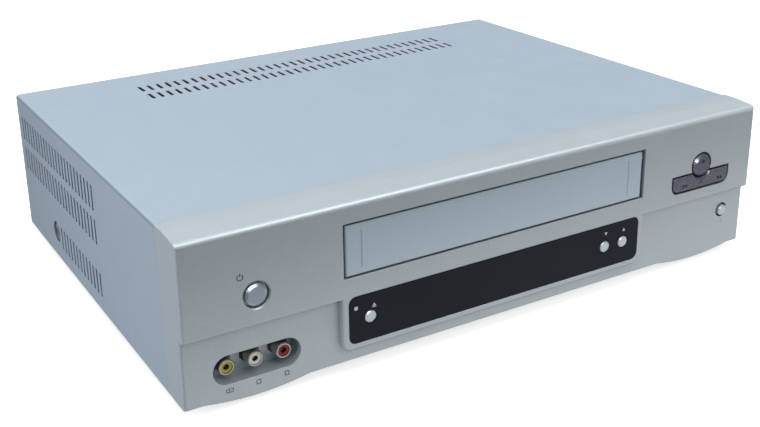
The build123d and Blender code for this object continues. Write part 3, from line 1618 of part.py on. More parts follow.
with BuildPart() as pinch_roller:
    with BuildSketch(plan_view(pinch_level)):
        with Locations((pinch_x, pinch_depth)):
            Circle(pinch_radius)
            Circle(pivot_pin_radius + running_clearance, mode=Mode.SUBTRACT)
    extrude(amount=pinch_height)
write(pinch_roller.part, "pinch_roller")

# ----------------------------------------------------------------------------------------------
# Threading guides, fixed heads, tension arm and loading gears
# ----------------------------------------------------------------------------------------------


def guide(side):
    """A threading guide: its shoe, the pin in the track and the roller post; side as in guide_track."""
    x = guide_start_x if side > 0 else 2 * drum_x - guide_start_x
    roller_top = guide_roller_level + guide_roller_height
    collar_low = guide_roller_level - guide_collar_height
    collar_top = roller_top + guide_collar_height
    with BuildPart() as made:
        with BuildSketch(plan_view(deck_top + running_clearance)):
            with Locations((x, guide_start_depth)):
                RectangleRounded(guide_base_width, guide_base_length, guide_base_corner)
        extrude(amount=guide_base_height)
        with BuildSketch(plan_view(deck_top + running_clearance)):
            with Locations((x, guide_start_depth)):
                Circle(guide_pin_width / 2)
        extrude(amount=-(deck_sheet + guide_pin_reach))
        add(turned_upright(
            x, guide_start_depth, (0, deck_top + guide_post_sink),
            (guide_post_radius, deck_top + guide_post_sink),
            (guide_post_radius, collar_low), (guide_collar_radius, collar_low),
            (guide_collar_radius, guide_roller_level), (guide_roller_radius, guide_roller_level),
            (guide_roller_radius, roller_top), (guide_collar_radius, roller_top),
            (guide_collar_radius, collar_top), (0, collar_top)))
    return made.part


write(guide(-1), "supply_guide")
write(guide(1), "takeup_guide")


def tape_head(x, depth, base, head):
    """A fixed head on its base; base and head are each (width, length, height)."""
    with BuildPart() as made:
        with BuildSketch(plan_view(deck_top)):
            with Locations((x, depth)):
                RectangleRounded(base[0], base[1], head_base_corner)
        extrude(amount=base[2])
        with BuildSketch(plan_view(deck_top + base[2])):
            with Locations((x, depth)):
                Rectangle(head[0], head[1])
        extrude(amount=head[2])
    return made.part


write(tape_head(audio_head_x, audio_head_depth,
                (audio_base_width, audio_base_length, audio_base_height),
                (audio_head_width, audio_head_length, audio_head_height)), "audio_head")
write(tape_head(erase_head_x, erase_head_depth,
                (erase_base_width, erase_base_length, erase_base_height),
                (erase_head_width, erase_head_length, erase_head_height)), "erase_head")

tension_tip = (tension_pivot_x + tension_arm_length, tension_pivot_depth - tension_arm_lead)

with BuildPart() as tension_arm:
    with BuildSketch(plan_view(pinch_arm_level)):
        with Locations((tension_pivot_x, tension_pivot_depth), tension_tip):
            Circle(arm_boss_radius)
        make_hull()
        with Locations((tension_pivot_x, tension_pivot_depth)):
            Circle(pivot_pin_radius + running_clearance, mode=Mode.SUBTRACT)
    extrude(amount=pinch_arm_sheet)
    with BuildSketch(plan_view(pinch_arm_level + pinch_arm_sheet)):
        with Locations(tension_tip):
            Circle(pivot_pin_radius)
    extrude(amount=tension_pin_height)
write(tension_arm.part, "tension_arm")

with BuildPart() as loading_block:
    with BuildSketch(plan_view(deck_top)):
        with Locations((loading_block_x, loading_block_depth)):
            RectangleRounded(loading_block_width, loading_block_length, loading_block_corner)
    extrude(amount=loading_block_height)
    with BuildSketch(front_view(loading_block_depth + loading_block_length / 2 - loading_motor_inset)):
        with Locations((loading_block_x, deck_top + loading_motor_level)):
            Circle(loading_motor_radius)
    extrude(amount=loading_motor_length)
write(loading_block.part, "loading_block")

cam_top = deck_level - cam_gear_drop
with BuildPart() as cam_gear:
    with BuildSketch(plan_view(cam_top - cam_gear_thickness)):
        with BuildSketch(mode=Mode.PRIVATE) as cam_teeth:
            gear_profile(cam_gear_teeth, rack_module, tooth_play)
        with Locations((cam_gear_x, cam_gear_depth)):
            add(cam_teeth.sketch)
    extrude(amount=cam_gear_thickness)
    with BuildSketch(plan_view(cam_top)):
        with Locations((cam_gear_x, cam_gear_depth)):
            Circle(stub_radius)
    extrude(amount=deck_top + cam_shaft_rise - cam_top)
write(cam_gear.part, "cam_gear")
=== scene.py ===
"""The looks of the video cassette recorder: materials, printed signs, small parts, light and camera.

Everything is in metres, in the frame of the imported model: +X to the right of somebody facing the
recorder, +Y from its front to its back, +Z up, and the floor at zero.
"""

import json
from math import cos, pi, radians, sin

import bmesh
import bpy
from mathutils import Matrix, Vector


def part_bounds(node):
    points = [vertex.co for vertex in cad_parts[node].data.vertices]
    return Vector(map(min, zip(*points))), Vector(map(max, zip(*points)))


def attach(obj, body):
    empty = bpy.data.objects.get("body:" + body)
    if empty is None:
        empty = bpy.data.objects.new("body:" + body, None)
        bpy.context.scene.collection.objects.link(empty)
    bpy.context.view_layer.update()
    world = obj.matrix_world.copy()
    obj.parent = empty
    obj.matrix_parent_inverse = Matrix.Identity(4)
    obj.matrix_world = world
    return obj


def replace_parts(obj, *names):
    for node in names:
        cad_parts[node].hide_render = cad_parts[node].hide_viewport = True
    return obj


MM = 0.001

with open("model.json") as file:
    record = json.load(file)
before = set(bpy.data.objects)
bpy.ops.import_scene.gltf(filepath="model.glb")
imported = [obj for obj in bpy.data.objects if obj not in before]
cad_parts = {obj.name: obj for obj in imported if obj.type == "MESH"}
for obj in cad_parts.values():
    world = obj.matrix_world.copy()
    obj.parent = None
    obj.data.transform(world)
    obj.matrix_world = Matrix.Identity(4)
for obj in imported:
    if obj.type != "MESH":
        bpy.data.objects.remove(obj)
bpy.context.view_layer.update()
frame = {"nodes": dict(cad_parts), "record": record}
nodes = frame["nodes"]

# ----------------------------------------------------------------------------------------------
# Places read from the frame
# ----------------------------------------------------------------------------------------------

front_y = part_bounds("front_panel")[0].y
wing_y = front_y + 3.6 * MM
base_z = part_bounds("top_cover")[0].z
window_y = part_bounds("display_window")[0].y
play_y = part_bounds("play_button")[0].y
rocker_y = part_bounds("search_rocker")[0].y

# ----------------------------------------------------------------------------------------------
# Materials
# ----------------------------------------------------------------------------------------------


class Finish:
    """A node-built material: noise in its colour, gloss and relief, and edges that are rounded."""

    def __init__(self, name, colour, roughness, metallic=0.0):
        self.material = bpy.data.materials.new(name)
        self.material.use_nodes = True
        self.tree = self.material.node_tree
        self.shader = self.tree.nodes["Principled BSDF"]
        self.shader.inputs["Base Color"].default_value = (*colour, 1)
        self.shader.inputs["Roughness"].default_value = roughness
        self.shader.inputs["Metallic"].default_value = metallic
        self.colour = colour
        self.roughness = roughness
        self.place = self.node("ShaderNodeTexCoord").outputs["Object"]
        self.painted = colour
        self.normal = None

    def node(self, kind, **inputs):
        """A new node with these inputs: sockets are linked, and anything else is set."""
        made = self.tree.nodes.new(kind)
        for key, value in inputs.items():
            socket = made.inputs[key.replace("_", " ")]
            if isinstance(value, bpy.types.NodeSocket):
                self.tree.links.new(value, socket)
            else:
                socket.default_value = value
        return made

    def link(self, output, name):
        """Links an output to one of the shader's own sockets."""
        self.tree.links.new(output, self.shader.inputs[name])

    def paint(self, colour):
        """Takes an output as the base colour, for what is added later to work on."""
        self.painted = colour
        self.link(colour, "Base Color")

    def calculated(self, operation, *values):
        """What a Math node makes of these outputs."""
        made = self.tree.nodes.new("ShaderNodeMath")
        made.operation = operation
        for index, value in enumerate(values):
            self.tree.links.new(value, made.inputs[index])
        return made.outputs["Value"]

    def noise(self, scale, detail=2.0, stretch=(1, 1, 1)):
        """A noise factor at a scale in waves per metre, made finer along each axis by its stretch."""
        mapping = self.node("ShaderNodeMapping", Vector=self.place, Scale=stretch)
        texture = self.node("ShaderNodeTexNoise", Vector=mapping.outputs["Vector"], Scale=scale,
                            Detail=detail)
        return texture.outputs["Fac"]

    def ranged(self, factor, low, high):
        """A factor spread over a range, with its middle part stretched out."""
        spread = self.node("ShaderNodeMapRange", Value=factor, From_Min=0.3, From_Max=0.7, To_Min=low,
                           To_Max=high)
        return spread.outputs["Result"]

    def mixed(self, factor, first, second):
        """A colour between two, by a factor."""
        mix = self.tree.nodes.new("ShaderNodeMix")
        mix.data_type = "RGBA"
        # The node has sockets for each type of data, and these are the ones for a colour.
        factor_place, first_place, second_place, result_place = 0, 6, 7, 2
        self.tree.links.new(factor, mix.inputs[factor_place])
        for place, value in ((first_place, first), (second_place, second)):
            if isinstance(value, bpy.types.NodeSocket):
                self.tree.links.new(value, mix.inputs[place])
            else:
                mix.inputs[place].default_value = (*value, 1)
        return mix.outputs[result_place]

    def mottle(self, amount, scale, stretch=(1, 1, 1), detail=3.0):
        """Makes the colour drift lighter and darker by an amount."""
        darker = [channel * (1 - amount) for channel in self.colour]
        lighter = [min(1.0, channel * (1 + amount)) for channel in self.colour]
        factor = self.ranged(self.noise(scale, detail, stretch), 0, 1)
        self.paint(self.mixed(factor, darker, lighter))
        return self

    def gloss(self, amount, scale, stretch=(1, 1, 1)):
        """Makes the roughness drift by an amount."""
        factor = self.noise(scale, stretch=stretch)
        self.link(self.ranged(factor, self.roughness - amount, self.roughness + amount), "Roughness")
        return self

    def edges(self, radius, wear=0.0):
        """Rounds sharp edges in the shading, and lightens them by the wear."""
        bevel = self.tree.nodes.new("ShaderNodeBevel")
        bevel.samples = 4
        bevel.inputs["Radius"].default_value = radius
        self.normal = bevel.outputs["Normal"]
        self.link(self.normal, "Normal")
        if wear:
            geometry = self.tree.nodes.new("ShaderNodeNewGeometry")
            dot = self.tree.nodes.new("ShaderNodeVectorMath")
            dot.operation = "DOT_PRODUCT"
            self.tree.links.new(bevel.outputs["Normal"], dot.inputs[0])
            self.tree.links.new(geometry.outputs["Normal"], dot.inputs[1])
            mask = self.node("ShaderNodeMapRange", Value=dot.outputs["Value"], From_Min=0.97, From_Max=0.8,
                             To_Min=0.0, To_Max=wear)
            gain = 1.35
            lift = 0.05
            worn = [min(1.0, channel * gain + lift) for channel in self.colour]
            self.paint(self.mixed(mask.outputs["Result"], self.painted, worn))
        return self

    def relief(self, height, scale, stretch=(1, 1, 1)):
        """Adds fine bumps of a height in metres."""
        bump = self.node("ShaderNodeBump", Height=self.noise(scale, stretch=stretch), Distance=height)
        if self.normal is not None:
            self.tree.links.new(self.normal, bump.inputs["Normal"])
        self.normal = bump.outputs["Normal"]
        self.link(self.normal, "Normal")
        return self

    def painted_crevice_shade(self, reach, left, shut=0.15, clear=0.45, alone=False):
        """Paints shade where a point is hidden within a reach, down to a share of its colour.

        A point is darkest where the open share round it is below shut, and plain above clear. With alone,
        only the piece's own shape hides it.
        """
        hidden = self.tree.nodes.new("ShaderNodeAmbientOcclusion")
        hidden.samples = 6
        hidden.only_local = alone
        hidden.inputs["Distance"].default_value = reach
        open_share = self.node("ShaderNodeMapRange", Value=hidden.outputs["AO"], From_Min=shut,
                               From_Max=clear)
        shaded = [channel * left for channel in self.colour]
        self.paint(self.mixed(open_share.outputs["Result"], shaded, self.painted))
        return self

    def painted_fold_shade(self, left):
        """Paints shade on the outer half of the folds between the top and the sides, down to a share."""
        normal = self.tree.nodes.new("ShaderNodeNewGeometry").outputs["Normal"]
        across = self.node("ShaderNodeSeparateXYZ", Vector=normal).outputs["X"]
        slope = self.calculated("ABSOLUTE", across)
        off_top = self.node("ShaderNodeMapRange", Value=slope, From_Min=0.55, From_Max=0.85)
        off_side = self.node("ShaderNodeMapRange", Value=slope, From_Min=0.999, From_Max=0.97)
        fold_shade = self.calculated("MULTIPLY", off_top.outputs["Result"], off_side.outputs["Result"])
        self.paint(self.mixed(fold_shade, self.painted, [channel * left for channel in self.colour]))
        return self

    def coat(self, weight, roughness):
        """Adds a clear lacquer."""
        self.shader.inputs["Coat Weight"].default_value = weight
        self.shader.inputs["Coat Roughness"].default_value = roughness
        return self


def painted(name, colour, roughness, metallic=0.35, wear=0.25, round_off=0.5):
    """Silver paint with fine flake, on sheet or on plastic."""
    made = Finish(name, colour, roughness, metallic)
    made.mottle(amount=0.025, scale=900.0).gloss(amount=0.04, scale=60.0)
    return made.edges(round_off * MM, wear=wear).relief(height=0.012 * MM, scale=1800.0)


def moulded(name, colour, roughness, grain=0.02):
    """Moulded plastic with a fine grain."""
    made = Finish(name, colour, roughness)
    made.mottle(amount=0.08, scale=60.0).gloss(amount=0.05, scale=90.0).edges(0.25 * MM, wear=0.15)
    return made.relief(height=grain * MM, scale=2600.0)


def plated(name, colour, roughness, stretch=(1, 1, 1), marks=0.006):
    """Plated or turned metal with fine working marks along one way."""
    made = Finish(name, colour, roughness, metallic=0.85)
    made.mottle(amount=0.07, scale=140.0, stretch=stretch)
    made.gloss(amount=0.06, scale=220.0, stretch=stretch).edges(0.15 * MM, wear=0.2)
    return made.relief(height=marks * MM, scale=900.0, stretch=stretch)


# After each name come the colour, in linear red, green and blue, and the roughness. Mottle, gloss and
# relief take an amount, or a height, and then a scale in waves per metre.

# The crevice darkening on the finishes below is painted shade in gaps, hollows and inside the case.
cover_paint = painted("cover_paint", (0.435, 0.51, 0.585), 0.42, wear=0.0, round_off=0.15)
# The cover's folds also get a painted shade line.
cover_paint.painted_crevice_shade(reach=400.0 * MM, left=0.05, shut=0.35, clear=0.65, alone=True).painted_fold_shade(left=0.6)
panel_paint = painted("panel_paint", (0.48, 0.53, 0.554), 0.36).painted_crevice_shade(reach=3.0 * MM, left=0.06)
door_paint = painted("door_paint", (0.52, 0.61, 0.68), 0.34)
door_paint.painted_crevice_shade(reach=2.0 * MM, left=0.06, shut=0.4, clear=0.7)
key_paint = painted("key_paint", (0.36, 0.41, 0.47), 0.26, metallic=0.5)
key_paint.painted_crevice_shade(reach=1.0 * MM, left=0.06, clear=0.3)
small_key_paint = painted("small_key_paint", (0.57, 0.63, 0.68), 0.28)
small_key_paint.painted_crevice_shade(reach=1.0 * MM, left=0.06, clear=0.3)
dark_key_paint = Finish("dark_key_paint", (0.147, 0.158, 0.195), 0.32, metallic=0.6)
dark_key_paint.mottle(0.30, 1000.0, detail=4.0).gloss(0.06, 400.0).edges(0.5 * MM, wear=0.45)
dark_key_paint.painted_crevice_shade(reach=1.0 * MM, left=0.05, clear=0.3).relief(0.05 * MM, 1100.0)
smoked_window = Finish("smoked_window", (0.010, 0.013, 0.019), 0.12)
smoked_window.mottle(0.1, 25.0).gloss(0.03, 40.0).edges(0.4 * MM)
smoked_window.shader.inputs["Specular IOR Level"].default_value = 0.12
black_mould = moulded("black_mould", (0.022, 0.022, 0.024), 0.42)
yellow_mould = moulded("yellow_mould", (0.42, 0.41, 0.03), 0.32)
white_mould = moulded("white_mould", (0.78, 0.77, 0.66), 0.32)
red_mould = moulded("red_mould", (0.27, 0.008, 0.018), 0.34)
bright_plate = plated("bright_plate", (0.50, 0.48, 0.42), 0.22)
# Painted shade darkens the socket shells inside their pockets.
bright_plate.painted_crevice_shade(reach=6.0 * MM, left=0.2, shut=0.2, clear=0.8)
zinc_plate = plated("zinc_plate", (0.58, 0.60, 0.60), 0.38)
turned_metal = plated("turned_metal", (0.62, 0.62, 0.63), 0.28, stretch=(1, 1, 12), marks=0.001)
rubber_mould = moulded("rubber_mould", (0.018, 0.018, 0.018), 0.75, grain=0.05)
board_laminate = Finish("board_laminate", (0.17, 0.11, 0.045), 0.5)
board_laminate.mottle(0.18, 220.0, stretch=(1, 4, 1)).gloss(0.08, 120.0).edges(0.2 * MM)
acetal_mould = moulded("acetal_mould", (0.80, 0.79, 0.72), 0.4)
ferrite_mould = moulded("ferrite_mould", (0.09, 0.085, 0.08), 0.55, grain=0.06)
tube_glass = Finish("tube_glass", (0.05, 0.075, 0.07), 0.08)
tube_glass.mottle(0.2, 400.0, stretch=(1, 1, 6)).gloss(0.03, 50.0).coat(weight=1.0, roughness=0.03)
brass_plate = plated("brass_plate", (0.72, 0.55, 0.22), 0.28)
dark_print = Finish("dark_print", (0.012, 0.014, 0.02), 0.6)
dark_print.mottle(0.1, 300.0).gloss(0.05, 200.0)
pale_print = Finish("pale_print", (0.55, 0.56, 0.60), 0.5)
pale_print.mottle(0.06, 300.0).gloss(0.05, 200.0)
red_print = Finish("red_print", (0.50, 0.33, 0.31), 0.5)
red_print.mottle(0.08, 300.0).gloss(0.05, 200.0)

finish_of_slot = {
    "silver_sheet": cover_paint, "silver_plastic": panel_paint, "door_plastic": door_paint,
    "window_plastic": smoked_window, "dark_key": dark_key_paint, "silver_key": key_paint,
    "black_plastic": black_mould, "yellow_plastic": yellow_mould, "white_plastic": white_mould,
    "red_plastic": red_mould, "bright_steel": bright_plate, "zinc_steel": zinc_plate,
    "machined_metal": turned_metal, "rubber": rubber_mould, "board": board_laminate,
    "deck_plastic": acetal_mould, "magnet": ferrite_mould, "display_glass": tube_glass,
}

finish_of_node = {
    "stop_eject_button": small_key_paint, "channel_down_button": small_key_paint,
    "channel_up_button": small_key_paint, "record_button": small_key_paint,
}

for part in frame["record"]["subparts"]:
    slots = nodes[part["node"]].data.materials
    slots.clear()
    slots.append(finish_of_node.get(part["node"], finish_of_slot[part["material_slot"]]).material)

# ----------------------------------------------------------------------------------------------
# Making pieces
# ----------------------------------------------------------------------------------------------


def piece(name, mesh, body, finish):
    """An object from a bmesh, in a finish and its material slot, that rides on a body."""
    data = bpy.data.meshes.new(name)
    bmesh.ops.recalc_face_normals(mesh, faces=mesh.faces)
    mesh.to_mesh(data)
    mesh.free()
    made = bpy.data.objects.new(name, data)
    bpy.context.scene.collection.objects.link(made)
    data.materials.append(finish.material)
    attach(made, body)
    return made


def add_prism(mesh, outline, back, front):
    """Adds a prism along Y: its outline is in x and z, and it runs from back to front."""
    far = [mesh.verts.new((x, back, z)) for x, z in outline]
    near = [mesh.verts.new((x, front, z)) for x, z in outline]
    mesh.faces.new(near)
    mesh.faces.new(far[::-1])
    for first in range(len(outline)):
        second = (first + 1) % len(outline)
        mesh.faces.new((near[first], far[first], far[second], near[second]))


def shifted(outline, x, level):
    """An outline in millimetres, moved to x and a level above the case's bottom edge."""
    return [((x + across) * MM, base_z + (level + up) * MM) for across, up in outline]


def sign(name, outlines, face_y, body, finish):
    """Printed marks: thin prisms that lie on a face, sunk into it a little."""
    sunk = 0.02 * MM
    proud = 0.03 * MM
    mesh = bmesh.new()
    for outline in outlines:
        add_prism(mesh, outline, face_y + sunk, face_y - proud)
    return piece(name, mesh, body, finish)


def triangle(width, height, turn=0.0):
    """A triangle that points up, turned by an angle in degrees."""
    corners = [(-width / 2, -height / 2), (width / 2, -height / 2), (0, height / 2)]
    angle = radians(turn)
    return [(x * cos(angle) - y * sin(angle), x * sin(angle) + y * cos(angle)) for x, y in corners]


def rectangle(width, height, x=0.0, y=0.0):
    """A rectangle about a point."""
    return [(x - width / 2, y - height / 2), (x + width / 2, y - height / 2),
            (x + width / 2, y + height / 2), (x - width / 2, y + height / 2)]


def disc(radius):
    """A round outline."""
    return [(radius * cos(radians(angle)), radius * sin(radians(angle))) for angle in range(0, 360, 15)]


def ring_piece(radius, width, start, end):
    """Part of a ring, between two angles in degrees."""
    steps = 14
    angles = [radians(start + (end - start) * step / steps) for step in range(steps + 1)]
    outside = [(radius * cos(angle), radius * sin(angle)) for angle in angles]
    inside = [((radius - width) * cos(angle), (radius - width) * sin(angle)) for angle in reversed(angles)]
    return outside + inside


def moved(outline, x, y):
    """An outline moved within its own plane."""
    return [(across + x, up + y) for across, up in outline]


def part_box(node, inside):
    """The lowest and highest corners of a node's points that pass a test."""
    points = [vertex.co for vertex in nodes[node].data.vertices if inside(vertex.co)]
    low = Vector([min(point[axis] for point in points) for axis in range(3)])
    high = Vector([max(point[axis] for point in points) for axis in range(3)])
    return low, high


def add_turned(mesh, x, z, profile):
    """Adds a body turned about a line along Y: profile is its closed outline, as (y, radius) corners."""
    steps = 32
    turns = [2 * pi * step / steps for step in range(steps)]
    rings = []
    for y, radius in profile:
        if radius:
            rings.append([mesh.verts.new((x + radius * cos(turn), y, z + radius * sin(turn)))
                          for turn in turns])
        else:
            rings.append([mesh.verts.new((x, y, z))] * steps)
    for first, second in zip(rings, rings[1:] + rings[:1]):
        for step in range(steps):
            after = (step + 1) % steps
            corners = [first[step], first[after], second[after], second[step]]
            corners = [corner for index, corner in enumerate(corners) if corner not in corners[:index]]
            if len(corners) > 2:
                mesh.faces.new(corners)


def add_block(mesh, low, high):
    """Adds a box between two corners."""
    add_prism(mesh, [(low[0], low[2]), (high[0], low[2]), (high[0], high[2]), (low[0], high[2])],
              high[1], low[1])


def smooth(made):
    """Shades a piece smoothly, apart from its sharp edges."""
    made.data.shade_smooth()
    made.data.set_sharp_from_angle(angle=radians(40))


# ----------------------------------------------------------------------------------------------
# Printed signs
# ----------------------------------------------------------------------------------------------

# Each place is x and the level above the case's bottom edge, in millimetres.

power_place = (-149.9, 62.1)
stop_place = (-89.6, 29.5)
eject_place = (-79.3, 29.2)
eject_bar_place = (-79.3, 27.9)
channel_down_place = (70.2, 30.6)
channel_up_place = (83.2, 30.4)
play_place = (140.2, 59.6)
rewind_place = (126.6, 46.9)
pause_place = (139.6, 47.2)
forward_place = (154.8, 46.9)
record_place = (164.6, 15.4)
socket_sign_level = 3.9
video_x, left_x, right_x = -156.7, -141.7, -126.7
stroke = 0.35

power_marks = [ring_piece(radius=1.7, width=0.42, start=125, end=415), rectangle(0.42, 1.7, y=1.15)]
sign("power_sign", [shifted(mark, *power_place) for mark in power_marks], front_y, "case", dark_print)

stop_marks = [shifted(rectangle(1.9, 1.9), *stop_place), shifted(triangle(2.3, 1.5), *eject_place),
              shifted(rectangle(2.3, 0.5), *eject_bar_place)]
sign("stop_eject_sign", stop_marks, window_y, "case", pale_print)
channel_marks = [shifted(triangle(2.0, 1.9, turn=180), *channel_down_place),
                 shifted(triangle(2.0, 1.9), *channel_up_place)]
sign("channel_sign", channel_marks, window_y, "case", pale_print)

sign("play_sign", [shifted(triangle(2.5, 2.6, turn=-90), *play_place)], play_y, "play_button", dark_print)


def arrow_pair(turn, place):
    """Two arrowheads in a row, turned to the left (90) or to the right (-90)."""
    half_step = 1.1
    arrow = triangle(2.3, 2.2, turn)
    return [shifted(moved(arrow, offset, 0), *place) for offset in (-half_step, half_step)]


search_marks = arrow_pair(90, rewind_place) + arrow_pair(-90, forward_place)
sign("search_sign", search_marks, rocker_y, "search_rocker", dark_print)


def frame_mark(size):
    """Four bars round a square."""
    reach = (size - stroke) / 2
    upright = size - 2 * stroke
    return [rectangle(size, stroke, y=reach), rectangle(size, stroke, y=-reach),
            rectangle(stroke, upright, x=reach), rectangle(stroke, upright, x=-reach)]


socket_marks = []
for mark_x in (left_x, right_x):
    socket_marks += [shifted(bar, mark_x, socket_sign_level) for bar in frame_mark(2.4)]
video_marks = [rectangle(3.4, stroke, y=up) for up in (-0.9, 0.9)]
video_marks += [rectangle(stroke, 1.8, x=across) for across in (-1.7, 1.7)]
video_marks += [triangle(0.9, 1.0, turn=-90)]
socket_marks += [shifted(mark, video_x, socket_sign_level) for mark in video_marks]
sign("socket_sign", socket_marks, wing_y, "case", dark_print)

sign("record_sign", [shifted(disc(0.95), *record_place)], wing_y, "case", red_print)
pause_marks = [shifted(rectangle(0.55, 1.9, x=across), *pause_place) for across in (-0.55, 0.55)]
sign("pause_sign", pause_marks, rocker_y, "search_rocker", dark_print)

# ----------------------------------------------------------------------------------------------
# Screws
# ----------------------------------------------------------------------------------------------


def screw_mesh(head_radius, head_height, shank_radius, shank_length):
    """A screw that points up: a domed head with a cross cut into it, and a shank."""
    body = bmesh.new()
    dome = [(-head_height * cos(radians(angle)), head_radius * sin(radians(angle)))
            for angle in (0, 15, 30, 45, 60, 75, 90)]
    taper = 0.6 * shank_radius
    tip_radius = 0.55 * shank_radius
    shank = [(0, shank_radius), (shank_length - taper, shank_radius)]
    tip = [(shank_length, tip_radius), (shank_length, 0)]
    add_turned(body, 0, 0, dome + shank + tip)
    bmesh.ops.recalc_face_normals(body, faces=body.faces)
    head = bpy.data.meshes.new("screw")
    body.to_mesh(head)
    body.free()
    cutter_mesh = bmesh.new()
    arm = 0.62 * head_radius
    half = 0.13 * head_radius
    cross = [(half, half), (half, arm), (-half, arm), (-half, half), (-arm, half), (-arm, -half),
             (-half, -half), (-half, -arm), (half, -arm), (half, -half), (arm, -half), (arm, half)]
    cut_floor = -0.35 * head_height
    add_prism(cutter_mesh, cross, cut_floor, -2 * head_height)
    bmesh.ops.recalc_face_normals(cutter_mesh, faces=cutter_mesh.faces)
    tool = bpy.data.meshes.new("screw_cross")
    cutter_mesh.to_mesh(tool)
    cutter_mesh.free()
    whole = bpy.data.objects.new("screw_blank", head)
    cutter = bpy.data.objects.new("screw_cutter", tool)
    for helper in (whole, cutter):
        bpy.context.scene.collection.objects.link(helper)
    cut = whole.modifiers.new("cross", "BOOLEAN")
    cut.object = cutter
    cut.operation = "DIFFERENCE"
    cut.solver = "EXACT"
    bpy.context.view_layer.update()
    made = bpy.data.meshes.new_from_object(whole.evaluated_get(bpy.context.evaluated_depsgraph_get()))
    for helper in (whole, cutter):
        bpy.data.objects.remove(helper)
    return made


def screws(name, blank, places):
    """Copies of a screw that point the way that each place says: (seat, turn about Z, roll)."""
    mesh = bmesh.new()
    for seat, turn, roll in places:
        start = len(mesh.verts)
        mesh.from_mesh(blank)
        mesh.verts.ensure_lookup_table()
        place = (Matrix.Translation(seat) @ Matrix.Rotation(radians(turn), 4, "Z")
                 @ Matrix.Rotation(radians(roll), 4, "Y"))
        bmesh.ops.transform(mesh, matrix=place, verts=mesh.verts[start:])
    made = piece(name, mesh, "case", zinc_plate)
    smooth(made)
    return made


cover_head = 1.2 * MM
cover_screw = screw_mesh(head_radius=3.2 * MM, head_height=cover_head, shank_radius=1.5 * MM,
                         shank_length=7.0 * MM)
left_edge = -170.0 * MM
middle_reach = 10.0 * MM
side_low, side_high = part_box("cover_screws", lambda point: point.x < left_edge)
rear_low, rear_high = part_box("cover_screws", lambda point: abs(point.x) < middle_reach)
side_seat = Vector((side_low.x + cover_head, (side_low.y + side_high.y) / 2,
                    (side_low.z + side_high.z) / 2))
rear_seat = Vector((0, rear_high.y - cover_head, (rear_low.z + rear_high.z) / 2))
rear_pitch = 150.0 * MM
screw_places = [(side_seat, -90, 25), (Vector((-side_seat.x, side_seat.y, side_seat.z)), 90, 60)]
for step in (-1, 0, 1):
    screw_places.append((rear_seat + Vector((step * rear_pitch, 0, 0)), 180, 20 + 35 * step))
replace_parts(screws("cover_screw_set", cover_screw, screw_places), "cover_screws")

panel_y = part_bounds("rear_panel")[1].y
panel_screw = screw_mesh(head_radius=2.6 * MM, head_height=1.0 * MM, shank_radius=1.2 * MM,
                         shank_length=3.0 * MM)
# Each place is x and the level above the case's bottom edge, in millimetres, and the cross's angle.
panel_screw_places = [(-127.5, 20.0, 10), (-52.5, 19.0, 50), (4.0, 19.0, 25), (142.0, 20.0, 70)]
panel_seats = [(Vector((x * MM, panel_y, base_z + level * MM)), 180, roll)
               for x, level, roll in panel_screw_places]
screws("panel_screw_set", panel_screw, panel_seats)

# ----------------------------------------------------------------------------------------------
# Contacts in the sockets
# ----------------------------------------------------------------------------------------------


def sleeve(name, places, mouth, inner_end, outer, inner, finish):
    """Short tubes with rounded mouths about lines along Y, at (x, z) places."""
    mesh = bmesh.new()
    lip = (outer - inner) / 2
    way = 1 if inner_end > mouth else -1
    profile = [(mouth + way * lip, outer), (mouth, outer - lip), (mouth + way * lip, inner),
               (inner_end, inner), (inner_end, outer)]
    for x, z in places:
        add_turned(mesh, x, z, profile)
    made = piece(name, mesh, "case", finish)
    smooth(made)
    return made


def middle(node):
    """The middle of a node's box, as seen from the front: (x, z)."""
    low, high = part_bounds(node)
    return ((low.x + high.x) / 2, (low.z + high.z) / 2)


bore = 1.6 * MM
front_inserts = ("video_socket_insert", "left_socket_insert", "right_socket_insert")
insert_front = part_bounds(front_inserts[0])[0].y
insert_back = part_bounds(front_inserts[0])[1].y
socket_centres = [middle(node) for node in front_inserts]
sleeve("front_socket_bores", socket_centres, mouth=insert_front + 0.7 * MM, inner_end=insert_back,
       outer=bore - 0.01 * MM, inner=bore - 0.25 * MM, finish=black_mould)
sleeve("front_socket_contacts", socket_centres, mouth=insert_front + 2.2 * MM, inner_end=insert_back,
       outer=bore - 0.3 * MM, inner=bore - 0.62 * MM, finish=brass_plate)

rear_shell_low, rear_shell_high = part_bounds("rear_socket_shells")
rear_z = (rear_shell_low.z + rear_shell_high.z) / 2
shell_reach = (rear_shell_high.z - rear_shell_low.z) / 2
rear_xs = (rear_shell_low.x + shell_reach, rear_shell_high.x - shell_reach)
rear_mouth = rear_shell_high.y
for name, x, finish, slot in (("rear_left_insert", rear_xs[0], white_mould, "white_plastic"),
                              ("rear_right_insert", rear_xs[1], red_mould, "red_plastic")):
    sleeve(name, [(x, rear_z)], mouth=rear_mouth + 0.35 * MM, inner_end=rear_mouth, outer=3.05 * MM,
           inner=bore, finish=finish)
sleeve("rear_socket_contacts", [(x, rear_z) for x in rear_xs], mouth=rear_mouth - 1.5 * MM,
       inner_end=rear_mouth - 7.0 * MM, outer=bore - 0.05 * MM, inner=bore - 0.45 * MM, finish=brass_plate)

